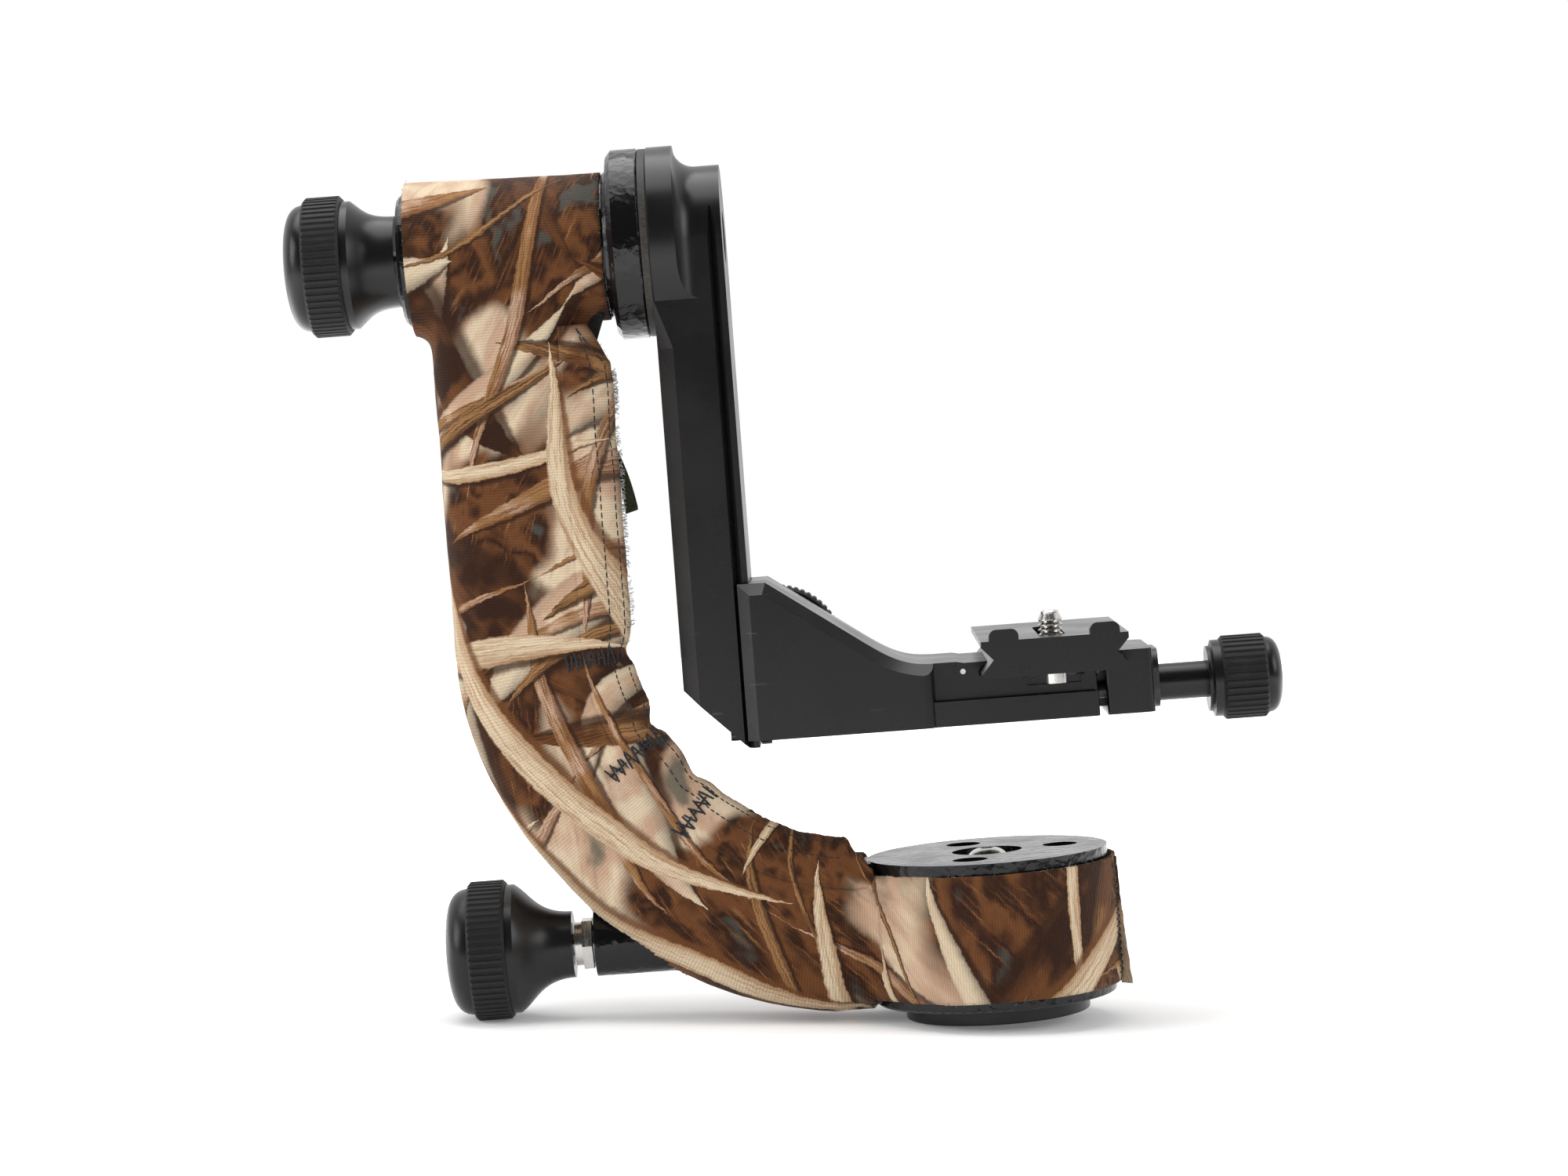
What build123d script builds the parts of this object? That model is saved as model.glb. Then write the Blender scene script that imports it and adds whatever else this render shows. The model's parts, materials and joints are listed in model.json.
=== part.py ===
"""Gimbal tripod head: a C-shaped yoke on a panning base carries a swing arm, an adjustable
platform and a dovetail clamp with its lens plate.

The origin is the centre of the base's underside on the pan axis. +Z points up along the pan
axis, the tilt axis runs along X above the origin, and the platform reaches towards +X.
All lengths are in millimetres.
"""

import os
from math import cos, radians, sin, tan

from build123d import *

# ---- Driving dimensions ----------------------------------------------------------------------

SLIDE_GAP = 0.15  # gap between sliding faces
RUN_GAP = 0.05  # radial gap of a shaft that turns in a hole

# Pan base, axle and its two ball bearings, stacked along Z
BASE_R = 24.33
BASE_H = 4.0
BASE_BOSS_R = 18.0
BASE_BOSS_TOP = 10.0
TRIPOD_THREAD_R = 3.97  # 3/8-16 thread at its minor diameter
AXLE_R = 7.5
BEARING_R = 14.0
BEARING_W = 7.0
RACE_WALL = 2.1
BALL_R = 1.87
BALL_COUNT = 11
PAN_LOWER_BEARING_Z = 13.0
PAN_UPPER_BEARING_Z = 32.0
BRAKE_DRUM_R = 10.5
RETAINER_R = 22.0
ACCESS_HOLE_R = 4.6
ACCESS_CIRCLE_R = 19.6
ACCESS_ANGLES = (8, 107, 255)
CENTRE_POCKET_R = 9.3

# Yoke casting
HOUSING_R = 31.7
HOUSING_BOTTOM = 4.4
HOUSING_TOP = 42.9
TILT_Z = 209.5
HUB_R = 18.0
HUB_LEFT = -139.8
HUB_LIP_R = 17.2
HUB_LIP_LEFT = -142.0
NECK_LEFT = -88.0
FLANGE_R = 24.87
FLANGE_LEFT = -85.3
FLANGE_RIGHT = -78.2
LIMB_X = -114.9  # centre of the upright limb
LIMB_W = 38.0  # limb section, in the plane of the C
LIMB_T = 27.0  # limb section, across the plane of the C
LIMB_EDGE_R = 8.5
LIMB_LEVEL_Z = 23.9  # centre height of the limb where it joins the housing
LIMB_SLOPE = 52.0  # degrees below the horizontal
LIMB_SLOPE_X = -97.5  # a point on the sloping stretch's centre line
LIMB_SLOPE_Z = 58.8
LIMB_BEND_R = (72.0, 80.0)
LIMB_END_X = -12.0

# Fabric sleeve
SLEEVE_T = 1.9
SLEEVE_RIGHT = -88.5
SLEEVE_BAND_BOTTOM = 7.0
SLEEVE_BAND_TOP = 40.0

# Pan brake, along X
PAN_BRAKE_Z = 26.0
BOSS_R = 8.9
BOSS_LEFT = -105.1
BUSHING_NECK_R = 5.8
BUSHING_LEFT = -110.4
HEX_ACROSS_FLATS = 12.7
HEX_LEFT = -108.4
HEX_RIGHT = -105.5
STUD_R = 3.0
PUSH_ROD_R = 2.6

# Tilt stack, along X
TILT_LEFT_BEARING_X = -128.0
TILT_RIGHT_BEARING_X = -86.0
WASHER_R = 24.6
ARM_LEFT = -76.2
ARM_RIGHT = -57.2
ARM_HALF_W = 19.0
ARM_BOTTOM_LEFT_Z = 91.9
ARM_BOTTOM_RIGHT_Z = 76.0
ARM_BOTTOM_RIGHT_X = -60.0
ARM_DISC_R = 24.9
ARM_COVE_X = -63.5  # where the cove meets the bar
ARM_COVE_R = 5.7
ARM_CHAMFER = 4.2
ARM_CHAMFER_TOP = 193.5
ARM_CHAMFER_FULL = 181.0
GROOVE_LEFT = -61.1
GROOVE_APEX_X = -60.0
GROOVE_RIGHT = -58.8
GROOVE_DEPTH = 1.8

# Large knobs
GRIP_R = 18.43
GRIP_W = 10.0
GRIP_SEAT_R = 15.4
GRIP_RIBS = 60
RIB_GROOVE_R = 0.52
DOME_R = 16.7

# Platform, clamp and lens plate
PLATFORM_LEFT = -60.1
PLATFORM_BOTTOM = 78.1
PLATFORM_TOP = 118.8
PLATFORM_HALF_W = 24.5
PLATFORM_BEVEL = 3.0
PLATFORM_WAIST_Z = 94.6
CLAMP_BED_Z = 90.6
CLAMP_RIGHT = 31.2
CLAMP_HALF_W = 23.0
CLAMP_LEDGE_Z = 84.6
CLAMP_AXIS_Z = 84.0
JAW_TOP = 94.2
JAW_LEFT = 33.4
JAW_RIGHT = 45.8
JAW_BOTTOM = 77.9
JAW_HALF_W = 20.0
PLATE_X = 20.0
PLATE_BOTTOM = 90.8
PLATE_HALF_W = 19.05
PLATE_HALF_L = 38.1
PLATE_DECK_Z = 100.2
PLATE_HORN_Z = 103.1
SCREW_SLOT_HALF_W = 3.4
CAMERA_THREAD_R = 3.175  # 1/4-20 thread
CAMERA_THREAD_PITCH = 1.27
HEIGHT_KNOB_X = -52.2
HEIGHT_KNOB_Z = 97.3

# ---- Helpers ---------------------------------------------------------------------------------


def save(piece, label):
    """Label a finished piece and write its STEP file."""
    piece.part.label = label
    export_step(piece.part, f"parts/{label}.step")


def axial_plane(origin, direction):
    """Plane whose local X runs along a horizontal direction and whose local Y is world up."""
    along = Vector(*direction)
    return Plane(origin=origin, x_dir=along, z_dir=along.cross(Vector(0, 0, 1)))


def turned(plane, outline):
    """Solid of revolution of a closed outline about the plane's local X axis."""
    with BuildPart() as piece:
        with BuildSketch(plane):
            with BuildLine():
                Polyline(*outline, close=True)
            make_face()
        revolve(axis=Axis(plane.origin, plane.x_dir))
    return piece


def tube(plane, start, end, outer_r, inner_r=0.0):
    """Plain round bar or tube between two distances along the plane's local X axis."""
    corners = [(start, inner_r), (start, outer_r), (end, outer_r), (end, inner_r)]
    return turned(plane, corners)


def bearing(plane, starts, name):
    """Inner races, outer races and ball rings of ball bearings that start at the given places."""
    inner_wall = AXLE_R + RACE_WALL
    outer_wall = BEARING_R - RACE_WALL
    ball_circle = (AXLE_R + BEARING_R) / 2
    track_r = BALL_R + RUN_GAP
    face = Plane(origin=plane.origin, x_dir=plane.y_dir, z_dir=plane.x_dir)
    for part_name, low_r, high_r in (("inner", AXLE_R, inner_wall), ("outer", outer_wall, BEARING_R)):
        with BuildPart() as races:
            for start in starts:
                with BuildSketch(plane):
                    with Locations((start + BEARING_W / 2, (low_r + high_r) / 2)):
                        Rectangle(BEARING_W, high_r - low_r)
                    with Locations((start + BEARING_W / 2, ball_circle)):
                        Circle(track_r, mode=Mode.SUBTRACT)
                revolve(axis=Axis(plane.origin, plane.x_dir))
        save(races, f"{name}_bearing_{part_name}")
    with BuildPart() as balls:
        for start in starts:
            with Locations(face.offset(start + BEARING_W / 2)):
                with PolarLocations(ball_circle, BALL_COUNT):
                    Sphere(BALL_R)
    save(balls, f"{name}_bearing_balls")


def knob(name, plane, flare, grip_start, dome_end, stud, grip_r=GRIP_R, seat_r=GRIP_SEAT_R,
         dome_r=DOME_R, ribs=GRIP_RIBS, grip_w=GRIP_W):
    """Turned knob with a flared neck, a ribbed rubber grip and a pressed-in stud.

    Distances run outwards from the neck's face along the plane's local X axis. The flare is a
    curve from the neck's radius to the collar's, and the stud is its tip, its foot and radius.
    """
    neck_r, collar_start, collar_r = flare
    grip_end = grip_start + grip_w
    stud_tip, stud_foot, stud_r = stud
    with BuildPart() as body:
        with BuildSketch(plane):
            with BuildLine():
                Line((0, 0), (0, neck_r))
                Bezier((0, neck_r), (collar_start * 0.62, neck_r),
                       (collar_start * 0.72, collar_r * 0.84), (collar_start, collar_r))
                Polyline((collar_start, collar_r), (grip_start, collar_r), (grip_start, seat_r),
                         (grip_end, seat_r), (grip_end, dome_r))
                Bezier((grip_end, dome_r), (dome_end - 1.2, dome_r), (dome_end, dome_r * 0.72),
                       (dome_end, 0))
                Line((dome_end, 0), (0, 0))
            make_face()
            with Locations((stud_foot / 2, stud_r / 2)):
                Rectangle(stud_foot, stud_r, mode=Mode.SUBTRACT)
        revolve(axis=Axis(plane.origin, plane.x_dir))
    save(body, f"{name}_knob_body")

    edge = 0.8
    face = Plane(origin=plane.origin, x_dir=plane.y_dir, z_dir=plane.x_dir)
    with BuildPart() as grip:
        with BuildSketch(plane):
            with BuildLine():
                Polyline((grip_start, seat_r), (grip_start, grip_r - edge),
                         (grip_start + edge, grip_r), (grip_end - edge, grip_r),
                         (grip_end, grip_r - edge), (grip_end, seat_r), close=True)
            make_face()
        revolve(axis=Axis(plane.origin, plane.x_dir))
        with BuildSketch(face.offset(grip_start)):
            with PolarLocations(grip_r + 0.1, ribs):
                Circle(RIB_GROOVE_R)
        extrude(amount=grip_w, mode=Mode.SUBTRACT)
    save(grip, f"{name}_knob_grip")

    save(tube(plane, stud_tip, stud_foot, stud_r), f"{name}_knob_stud")


os.makedirs("parts", exist_ok=True)
PAN_AXIS = Plane(origin=(0, 0, 0), x_dir=(0, 0, 1), z_dir=(0, 1, 0))
TILT_AXIS = axial_plane((0, 0, TILT_Z), (1, 0, 0))
BRAKE_AXIS = axial_plane((0, 0, PAN_BRAKE_Z), (1, 0, 0))

# ---- Pan base and what turns nowhere ---------------------------------------------------------

BASE_SCREW_CIRCLE_R = 9.2
BASE_SCREW_R = 1.5
BASE_HEAD_R = 2.6
BASE_HEAD_Z = 0.6
BASE_HEAD_TOP = 3.2
BASE_SCREW_TOP = 11.4
AXLE_FLANGE_R = 11.4
AXLE_FLANGE_TOP = 12.0

with BuildPart() as pan_base:
    with BuildSketch(Plane.XY):
        Circle(BASE_R)
    extrude(amount=BASE_H)
    fillet(pan_base.edges().filter_by(GeomType.CIRCLE), 0.5)
    with BuildSketch(Plane.XY.offset(BASE_H)):
        Circle(BASE_BOSS_R)
    extrude(amount=BASE_BOSS_TOP - BASE_H)
    with BuildSketch(Plane.XY):
        Circle(TRIPOD_THREAD_R)
        with PolarLocations(BASE_SCREW_CIRCLE_R, 3):
            Circle(BASE_SCREW_R)
    extrude(amount=BASE_BOSS_TOP, mode=Mode.SUBTRACT)
    with BuildSketch(Plane.XY):
        with PolarLocations(BASE_SCREW_CIRCLE_R, 3):
            Circle(BASE_HEAD_R + 0.2)
    extrude(amount=BASE_HEAD_TOP, mode=Mode.SUBTRACT)
save(pan_base, "pan_base")

with BuildPart() as base_screws:
    with BuildSketch(Plane.XY.offset(BASE_HEAD_Z)):
        with PolarLocations(BASE_SCREW_CIRCLE_R, 3):
            Circle(BASE_HEAD_R)
    extrude(amount=BASE_HEAD_TOP - BASE_HEAD_Z)
    with BuildSketch(Plane.XY.offset(BASE_HEAD_Z)):
        with PolarLocations(BASE_SCREW_CIRCLE_R, 3):
            RegularPolygon(1.3, 6)
    extrude(amount=1.6, mode=Mode.SUBTRACT)
    with BuildSketch(Plane.XY.offset(BASE_HEAD_TOP)):
        with PolarLocations(BASE_SCREW_CIRCLE_R, 3):
            Circle(BASE_SCREW_R)
    extrude(amount=BASE_SCREW_TOP - BASE_HEAD_TOP)
save(base_screws, "base_screws")

AXLE_TOP = PAN_UPPER_BEARING_Z + BEARING_W
CENTRE_BOLT_R = 3.0
CENTRE_BOLT_TIP = 24.0

with BuildPart() as pan_axle:
    with BuildSketch(Plane.XY.offset(BASE_BOSS_TOP)):
        Circle(AXLE_FLANGE_R)
        with PolarLocations(BASE_SCREW_CIRCLE_R, 3):
            Circle(BASE_SCREW_R, mode=Mode.SUBTRACT)
    extrude(amount=AXLE_FLANGE_TOP - BASE_BOSS_TOP)
    with BuildSketch(Plane.XY.offset(AXLE_FLANGE_TOP)):
        Circle(AXLE_R + 1.4)
    extrude(amount=PAN_LOWER_BEARING_Z - AXLE_FLANGE_TOP)
    with BuildSketch(Plane.XY.offset(PAN_LOWER_BEARING_Z)):
        Circle(AXLE_R)
    extrude(amount=AXLE_TOP - PAN_LOWER_BEARING_Z)
    with BuildSketch(Plane.XY.offset(CENTRE_BOLT_TIP)):
        Circle(CENTRE_BOLT_R)
    extrude(amount=AXLE_TOP - CENTRE_BOLT_TIP, mode=Mode.SUBTRACT)
save(pan_axle, "pan_axle")

bearing(PAN_AXIS, (PAN_LOWER_BEARING_Z, PAN_UPPER_BEARING_Z), "pan")
DRUM_BOTTOM = PAN_LOWER_BEARING_Z + BEARING_W
save(tube(PAN_AXIS, DRUM_BOTTOM, PAN_UPPER_BEARING_Z, BRAKE_DRUM_R, AXLE_R), "pan_brake_drum")
WASHER_TOP = AXLE_TOP + 1.5
save(tube(PAN_AXIS, AXLE_TOP, WASHER_TOP, CENTRE_POCKET_R - 0.5, CENTRE_BOLT_R), "retaining_washer")

CENTRE_HEAD_R = 5.65
CENTRE_HEAD_H = 3.1
with BuildPart() as centre_bolt:
    with BuildSketch(Plane.XY.offset(CENTRE_BOLT_TIP)):
        Circle(CENTRE_BOLT_R)
    extrude(amount=WASHER_TOP - CENTRE_BOLT_TIP)
    with BuildSketch(Plane.XZ):
        with BuildLine():
            Line((0, WASHER_TOP), (CENTRE_HEAD_R, WASHER_TOP))
            Line((CENTRE_HEAD_R, WASHER_TOP), (CENTRE_HEAD_R, WASHER_TOP + 0.5))
            ThreePointArc((CENTRE_HEAD_R, WASHER_TOP + 0.5), (4.3, WASHER_TOP + 2.2),
                          (2.3, WASHER_TOP + CENTRE_HEAD_H))
            Polyline((2.3, WASHER_TOP + CENTRE_HEAD_H), (0, WASHER_TOP + CENTRE_HEAD_H), (0, WASHER_TOP))
        make_face()
    revolve(axis=Axis.Z)
    with BuildSketch(Plane.XY.offset(WASHER_TOP + CENTRE_HEAD_H)):
        RegularPolygon(2.1, 6)
    extrude(amount=-2.2, mode=Mode.SUBTRACT)
save(centre_bolt, "centre_bolt")

# ---- Yoke ------------------------------------------------------------------------------------

slope = radians(LIMB_SLOPE)
limb_elbow = (LIMB_X, LIMB_SLOPE_Z + (LIMB_SLOPE_X - LIMB_X) * tan(slope))
limb_heel = (LIMB_SLOPE_X + (LIMB_SLOPE_Z - LIMB_LEVEL_Z) / tan(slope), LIMB_LEVEL_Z)
limb_route = [(LIMB_X, TILT_Z), (LIMB_X, limb_elbow[1]), limb_heel, (LIMB_END_X, LIMB_LEVEL_Z)]


def limb(width, thickness, edge_r):
    """The C's curved limb: a rounded section swept down, round two bends and into the base."""
    with BuildPart() as swept:
        with BuildLine(Plane(origin=(0, 0, 0), x_dir=(1, 0, 0), z_dir=(0, -1, 0))) as route:
            FilletPolyline(*limb_route, radius=list(LIMB_BEND_R))
        with BuildSketch(Plane(origin=(LIMB_X, 0, TILT_Z), x_dir=(1, 0, 0), z_dir=(0, 0, -1))):
            RectangleRounded(width, thickness, edge_r)
        sweep(path=route.wires()[0])
    return swept.part


HUB_BORE_R = 12.0
BUSHING_SHANK_R = 5.0
BRAKE_PAD_R = 5.0
BRAKE_PAD_LEFT = -22.0
STUD_TIP_X = -84.0
BUSHING_RIGHT = -88.0
RETAINER_T = 2.0
RETAINER_SCREW_R = 2.0
RETAINER_HEAD_R = 3.5
RETAINER_HEAD_Z = 17.0

with BuildPart() as yoke_blank:
    add(limb(LIMB_W, LIMB_T, LIMB_EDGE_R))
    with BuildSketch(Plane.XY.offset(HOUSING_BOTTOM)):
        Circle(HOUSING_R)
    extrude(amount=HOUSING_TOP - HOUSING_BOTTOM)
    fillet(yoke_blank.faces().sort_by(Axis.Z)[0].edges().filter_by(GeomType.CIRCLE), 0.6)
    with BuildSketch(TILT_AXIS):
        with BuildLine():
            Polyline((HUB_LIP_LEFT, 0), (HUB_LIP_LEFT, HUB_LIP_R - 0.9), (HUB_LIP_LEFT + 0.9, HUB_LIP_R),
                     (HUB_LEFT, HUB_LIP_R), (HUB_LEFT, HUB_R), (NECK_LEFT, HUB_R),
                     (NECK_LEFT, HUB_R + 0.9), (-87.0, HUB_R + 1.6), (-86.6, FLANGE_R - 1.6),
                     (FLANGE_LEFT, FLANGE_R), (FLANGE_RIGHT - 0.5, FLANGE_R),
                     (FLANGE_RIGHT, FLANGE_R - 0.5), (FLANGE_RIGHT, 0), close=True)
        make_face()
    revolve(axis=Axis(TILT_AXIS.origin, TILT_AXIS.x_dir))
    with BuildSketch(Plane.YZ.offset(BOSS_LEFT)):
        with Locations((0, PAN_BRAKE_Z)):
            Circle(BOSS_R)
    extrude(amount=45.0)

with BuildPart() as yoke_casting:
    add(yoke_blank.part)
    # Pan bore: recess over the base, bearing bore, centre pocket and the three access holes
    with BuildSketch(Plane.XY.offset(HOUSING_BOTTOM)):
        Circle(RETAINER_R + 0.3)
    extrude(amount=PAN_LOWER_BEARING_Z - HOUSING_BOTTOM, mode=Mode.SUBTRACT)
    with BuildSketch(Plane.XY.offset(PAN_LOWER_BEARING_Z)):
        Circle(BEARING_R)
    extrude(amount=AXLE_TOP - PAN_LOWER_BEARING_Z, mode=Mode.SUBTRACT)
    with BuildSketch(Plane.XY.offset(AXLE_TOP)):
        Circle(CENTRE_POCKET_R)
    extrude(amount=HOUSING_TOP - AXLE_TOP + 1, mode=Mode.SUBTRACT)
    for angle in ACCESS_ANGLES:
        centre = (ACCESS_CIRCLE_R * cos(radians(angle)), ACCESS_CIRCLE_R * sin(radians(angle)))
        with BuildSketch(Plane.XY.offset(RETAINER_HEAD_Z)):
            with Locations(centre):
                Circle(ACCESS_HOLE_R)
        extrude(amount=HOUSING_TOP - RETAINER_HEAD_Z + 1, mode=Mode.SUBTRACT)
        with BuildSketch(Plane.XY.offset(PAN_LOWER_BEARING_Z)):
            with Locations(centre):
                Circle(RETAINER_SCREW_R + 0.1)
        extrude(amount=RETAINER_HEAD_Z - PAN_LOWER_BEARING_Z, mode=Mode.SUBTRACT)
    # Pan brake bore, stepped for the bushing, the push rod and the pad
    brake_steps = ((BOSS_LEFT, BUSHING_RIGHT, BUSHING_SHANK_R),
                   (BUSHING_RIGHT - 0.5, BRAKE_PAD_LEFT - 2.6, PUSH_ROD_R + 0.5),
                   (BRAKE_PAD_LEFT - 3.0, LIMB_END_X, BRAKE_PAD_R + 0.2))
    for start, end, radius in brake_steps:
        with BuildSketch(Plane.YZ.offset(start)):
            with Locations((0, PAN_BRAKE_Z)):
                Circle(radius)
        extrude(amount=end - start, mode=Mode.SUBTRACT)
    # Tilt bore: two bearing seats with a narrower waist between them
    hub_steps = ((HUB_LIP_LEFT, TILT_LEFT_BEARING_X + BEARING_W, BEARING_R),
                 (TILT_LEFT_BEARING_X, TILT_RIGHT_BEARING_X + 1, HUB_BORE_R),
                 (TILT_RIGHT_BEARING_X, FLANGE_RIGHT, BEARING_R))
    for start, end, radius in hub_steps:
        with BuildSketch(Plane.YZ.offset(start)):
            with Locations((0, TILT_Z)):
                Circle(radius)
        extrude(amount=end - start, mode=Mode.SUBTRACT)
save(yoke_casting, "yoke_casting")

with BuildPart() as bearing_retainer:
    with BuildSketch(Plane.XY.offset(PAN_LOWER_BEARING_Z - RETAINER_T)):
        Circle(RETAINER_R)
        Circle(12.2, mode=Mode.SUBTRACT)
        for angle in ACCESS_ANGLES:
            with Locations((ACCESS_CIRCLE_R * cos(radians(angle)), ACCESS_CIRCLE_R * sin(radians(angle)))):
                Circle(RETAINER_SCREW_R, mode=Mode.SUBTRACT)
    extrude(amount=RETAINER_T)
save(bearing_retainer, "bearing_retainer")

with BuildPart() as retainer_screws:
    for angle in ACCESS_ANGLES:
        centre = (ACCESS_CIRCLE_R * cos(radians(angle)), ACCESS_CIRCLE_R * sin(radians(angle)))
        with BuildSketch(Plane.XY.offset(PAN_LOWER_BEARING_Z - RETAINER_T)):
            with Locations(centre):
                Circle(RETAINER_SCREW_R)
        extrude(amount=RETAINER_HEAD_Z - PAN_LOWER_BEARING_Z + RETAINER_T)
        with BuildSketch(Plane.XY.offset(RETAINER_HEAD_Z)):
            with Locations(centre):
                Circle(RETAINER_HEAD_R)
        extrude(amount=4.0)
        with BuildSketch(Plane.XY.offset(RETAINER_HEAD_Z + 4.0)):
            with Locations(centre):
                RegularPolygon(1.7, 6)
        extrude(amount=-2.2, mode=Mode.SUBTRACT)
save(retainer_screws, "retainer_screws")

with BuildPart() as bearing_spacer:
    with BuildSketch(Plane.XY.offset(DRUM_BOTTOM)):
        Circle(BEARING_R)
        Circle(12.0, mode=Mode.SUBTRACT)
    extrude(amount=PAN_UPPER_BEARING_Z - DRUM_BOTTOM)
    with BuildSketch(Plane.YZ.offset(-BEARING_R - 1)):
        with Locations((0, PAN_BRAKE_Z)):
            Circle(BRAKE_PAD_R + 0.3)
    extrude(amount=BEARING_R, mode=Mode.SUBTRACT)
save(bearing_spacer, "bearing_spacer")

bearing(TILT_AXIS, (TILT_LEFT_BEARING_X, TILT_RIGHT_BEARING_X), "tilt")

with BuildPart() as pan_brake_bushing:
    with BuildSketch(Plane.YZ.offset(BUSHING_LEFT)):
        with Locations((0, PAN_BRAKE_Z)):
            Circle(BUSHING_NECK_R)
    extrude(amount=HEX_LEFT - BUSHING_LEFT)
    with BuildSketch(Plane.YZ.offset(HEX_LEFT)):
        with Locations((0, PAN_BRAKE_Z)):
            RegularPolygon(HEX_ACROSS_FLATS / 2, 6, major_radius=False)
    extrude(amount=HEX_RIGHT - HEX_LEFT)
    chamfer(pan_brake_bushing.faces().filter_by(Axis.X).sort_by(Axis.X)[-1].edges(), 0.3)
    with BuildSketch(Plane.YZ.offset(HEX_RIGHT)):
        with Locations((0, PAN_BRAKE_Z)):
            Circle(BUSHING_SHANK_R)
    extrude(amount=BUSHING_RIGHT - HEX_RIGHT)
    with BuildSketch(Plane.YZ.offset(BUSHING_LEFT)):
        with Locations((0, PAN_BRAKE_Z)):
            Circle(STUD_R + RUN_GAP)
    extrude(amount=BUSHING_RIGHT - BUSHING_LEFT, mode=Mode.SUBTRACT)
save(pan_brake_bushing, "pan_brake_bushing")

END_PLUG_RIGHT = -138.4
save(tube(TILT_AXIS, HUB_LIP_LEFT + 0.2, END_PLUG_RIGHT, BEARING_R, STUD_R + RUN_GAP), "hub_end_plug")

with BuildPart() as sleeve:
    add(limb(LIMB_W + 2 * SLEEVE_T, LIMB_T + 2 * SLEEVE_T, LIMB_EDGE_R + SLEEVE_T))
    with BuildSketch(Plane.YZ.offset(HUB_LEFT)):
        with Locations((0, TILT_Z)):
            Circle(HUB_R + SLEEVE_T)
    extrude(amount=SLEEVE_RIGHT - HUB_LEFT)
    with BuildSketch(Plane.XY.offset(SLEEVE_BAND_BOTTOM)):
        Circle(HOUSING_R + SLEEVE_T)
    extrude(amount=SLEEVE_BAND_TOP - SLEEVE_BAND_BOTTOM)
    # Open over the housing's top and underside, round the brake boss and at the hub's ends
    with BuildSketch(Plane.XY):
        Circle(HOUSING_R)
    extrude(amount=HOUSING_TOP + 10, mode=Mode.SUBTRACT)
    with BuildSketch(Plane.YZ.offset(BOSS_LEFT - 10)):
        with Locations((0, PAN_BRAKE_Z - 3.0)):
            Rectangle(2 * BOSS_R + 2.4, 2 * BOSS_R + 5.0)
    extrude(amount=29.0, mode=Mode.SUBTRACT)
    with BuildSketch(Plane.YZ.offset(HUB_LEFT)):
        with Locations((0, TILT_Z)):
            Circle(HUB_R)
    extrude(amount=SLEEVE_RIGHT - HUB_LEFT, mode=Mode.SUBTRACT)
    add(yoke_blank.part, mode=Mode.SUBTRACT)
save(sleeve, "sleeve")

# ---- Pan brake and its knob ------------------------------------------------------------------

save(tube(BRAKE_AXIS, BRAKE_PAD_LEFT, -BRAKE_DRUM_R - 0.1, BRAKE_PAD_R), "pan_brake_pad")
save(tube(BRAKE_AXIS, STUD_TIP_X, BRAKE_PAD_LEFT, PUSH_ROD_R), "pan_push_rod")
PAN_KNOB_FACE = -110.9
knob("pan", axial_plane((PAN_KNOB_FACE, 0, PAN_BRAKE_Z), (-1, 0, 0)), flare=(8.8, 15.0, 17.0),
     grip_start=17.0, dome_end=33.6, stud=(PAN_KNOB_FACE - STUD_TIP_X, 20.0, STUD_R))

# ---- Tilt brake and its knob -----------------------------------------------------------------

TILT_AXLE_LEFT = -130.0
TILT_PAD_LEFT = -136.2
save(tube(TILT_AXIS, TILT_PAD_LEFT, TILT_AXLE_LEFT - 0.1, 8.0), "tilt_brake_pad")
TILT_KNOB_FACE = -143.2
knob("tilt", axial_plane((TILT_KNOB_FACE, 0, TILT_Z), (-1, 0, 0)), flare=(12.0, 11.6, 16.8),
     grip_start=13.6, dome_end=29.6, stud=(TILT_KNOB_FACE - TILT_PAD_LEFT, 18.0, STUD_R))

# ---- Swing arm -------------------------------------------------------------------------------

AXLE_HEAD_R = 12.0
AXLE_SPIGOT_R = 8.0
AXLE_SPIGOT_RIGHT = -69.0
AXLE_BOLT_R = 4.0
AXLE_BOLT_TIP = -98.0
BOLT_SEAT_X = -64.0
STOP_SCREW_Z = 78.2
STOP_HEAD_R = 2.9
STOP_HEAD_RIGHT = -54.4
STOP_SHANK_R = 1.5
STOP_SHANK_L = 8.0

with BuildPart() as tilt_axle:
    for start, end, radius in ((TILT_AXLE_LEFT, TILT_RIGHT_BEARING_X + BEARING_W, AXLE_R),
                               (TILT_RIGHT_BEARING_X + BEARING_W, ARM_LEFT, AXLE_HEAD_R),
                               (ARM_LEFT, AXLE_SPIGOT_RIGHT, AXLE_SPIGOT_R)):
        with BuildSketch(Plane.YZ.offset(start)):
            with Locations((0, TILT_Z)):
                Circle(radius)
        extrude(amount=end - start)
    with BuildSketch(Plane.YZ.offset(AXLE_BOLT_TIP)):
        with Locations((0, TILT_Z)):
            Circle(AXLE_BOLT_R)
    extrude(amount=AXLE_SPIGOT_RIGHT - AXLE_BOLT_TIP, mode=Mode.SUBTRACT)
save(tilt_axle, "tilt_axle")

save(tube(TILT_AXIS, TILT_AXLE_LEFT, TILT_LEFT_BEARING_X, AXLE_R + 2.4, AXLE_R), "tilt_retaining_ring")
save(tube(TILT_AXIS, FLANGE_RIGHT + 0.1, ARM_LEFT, WASHER_R, 15.0), "friction_washer")

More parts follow.
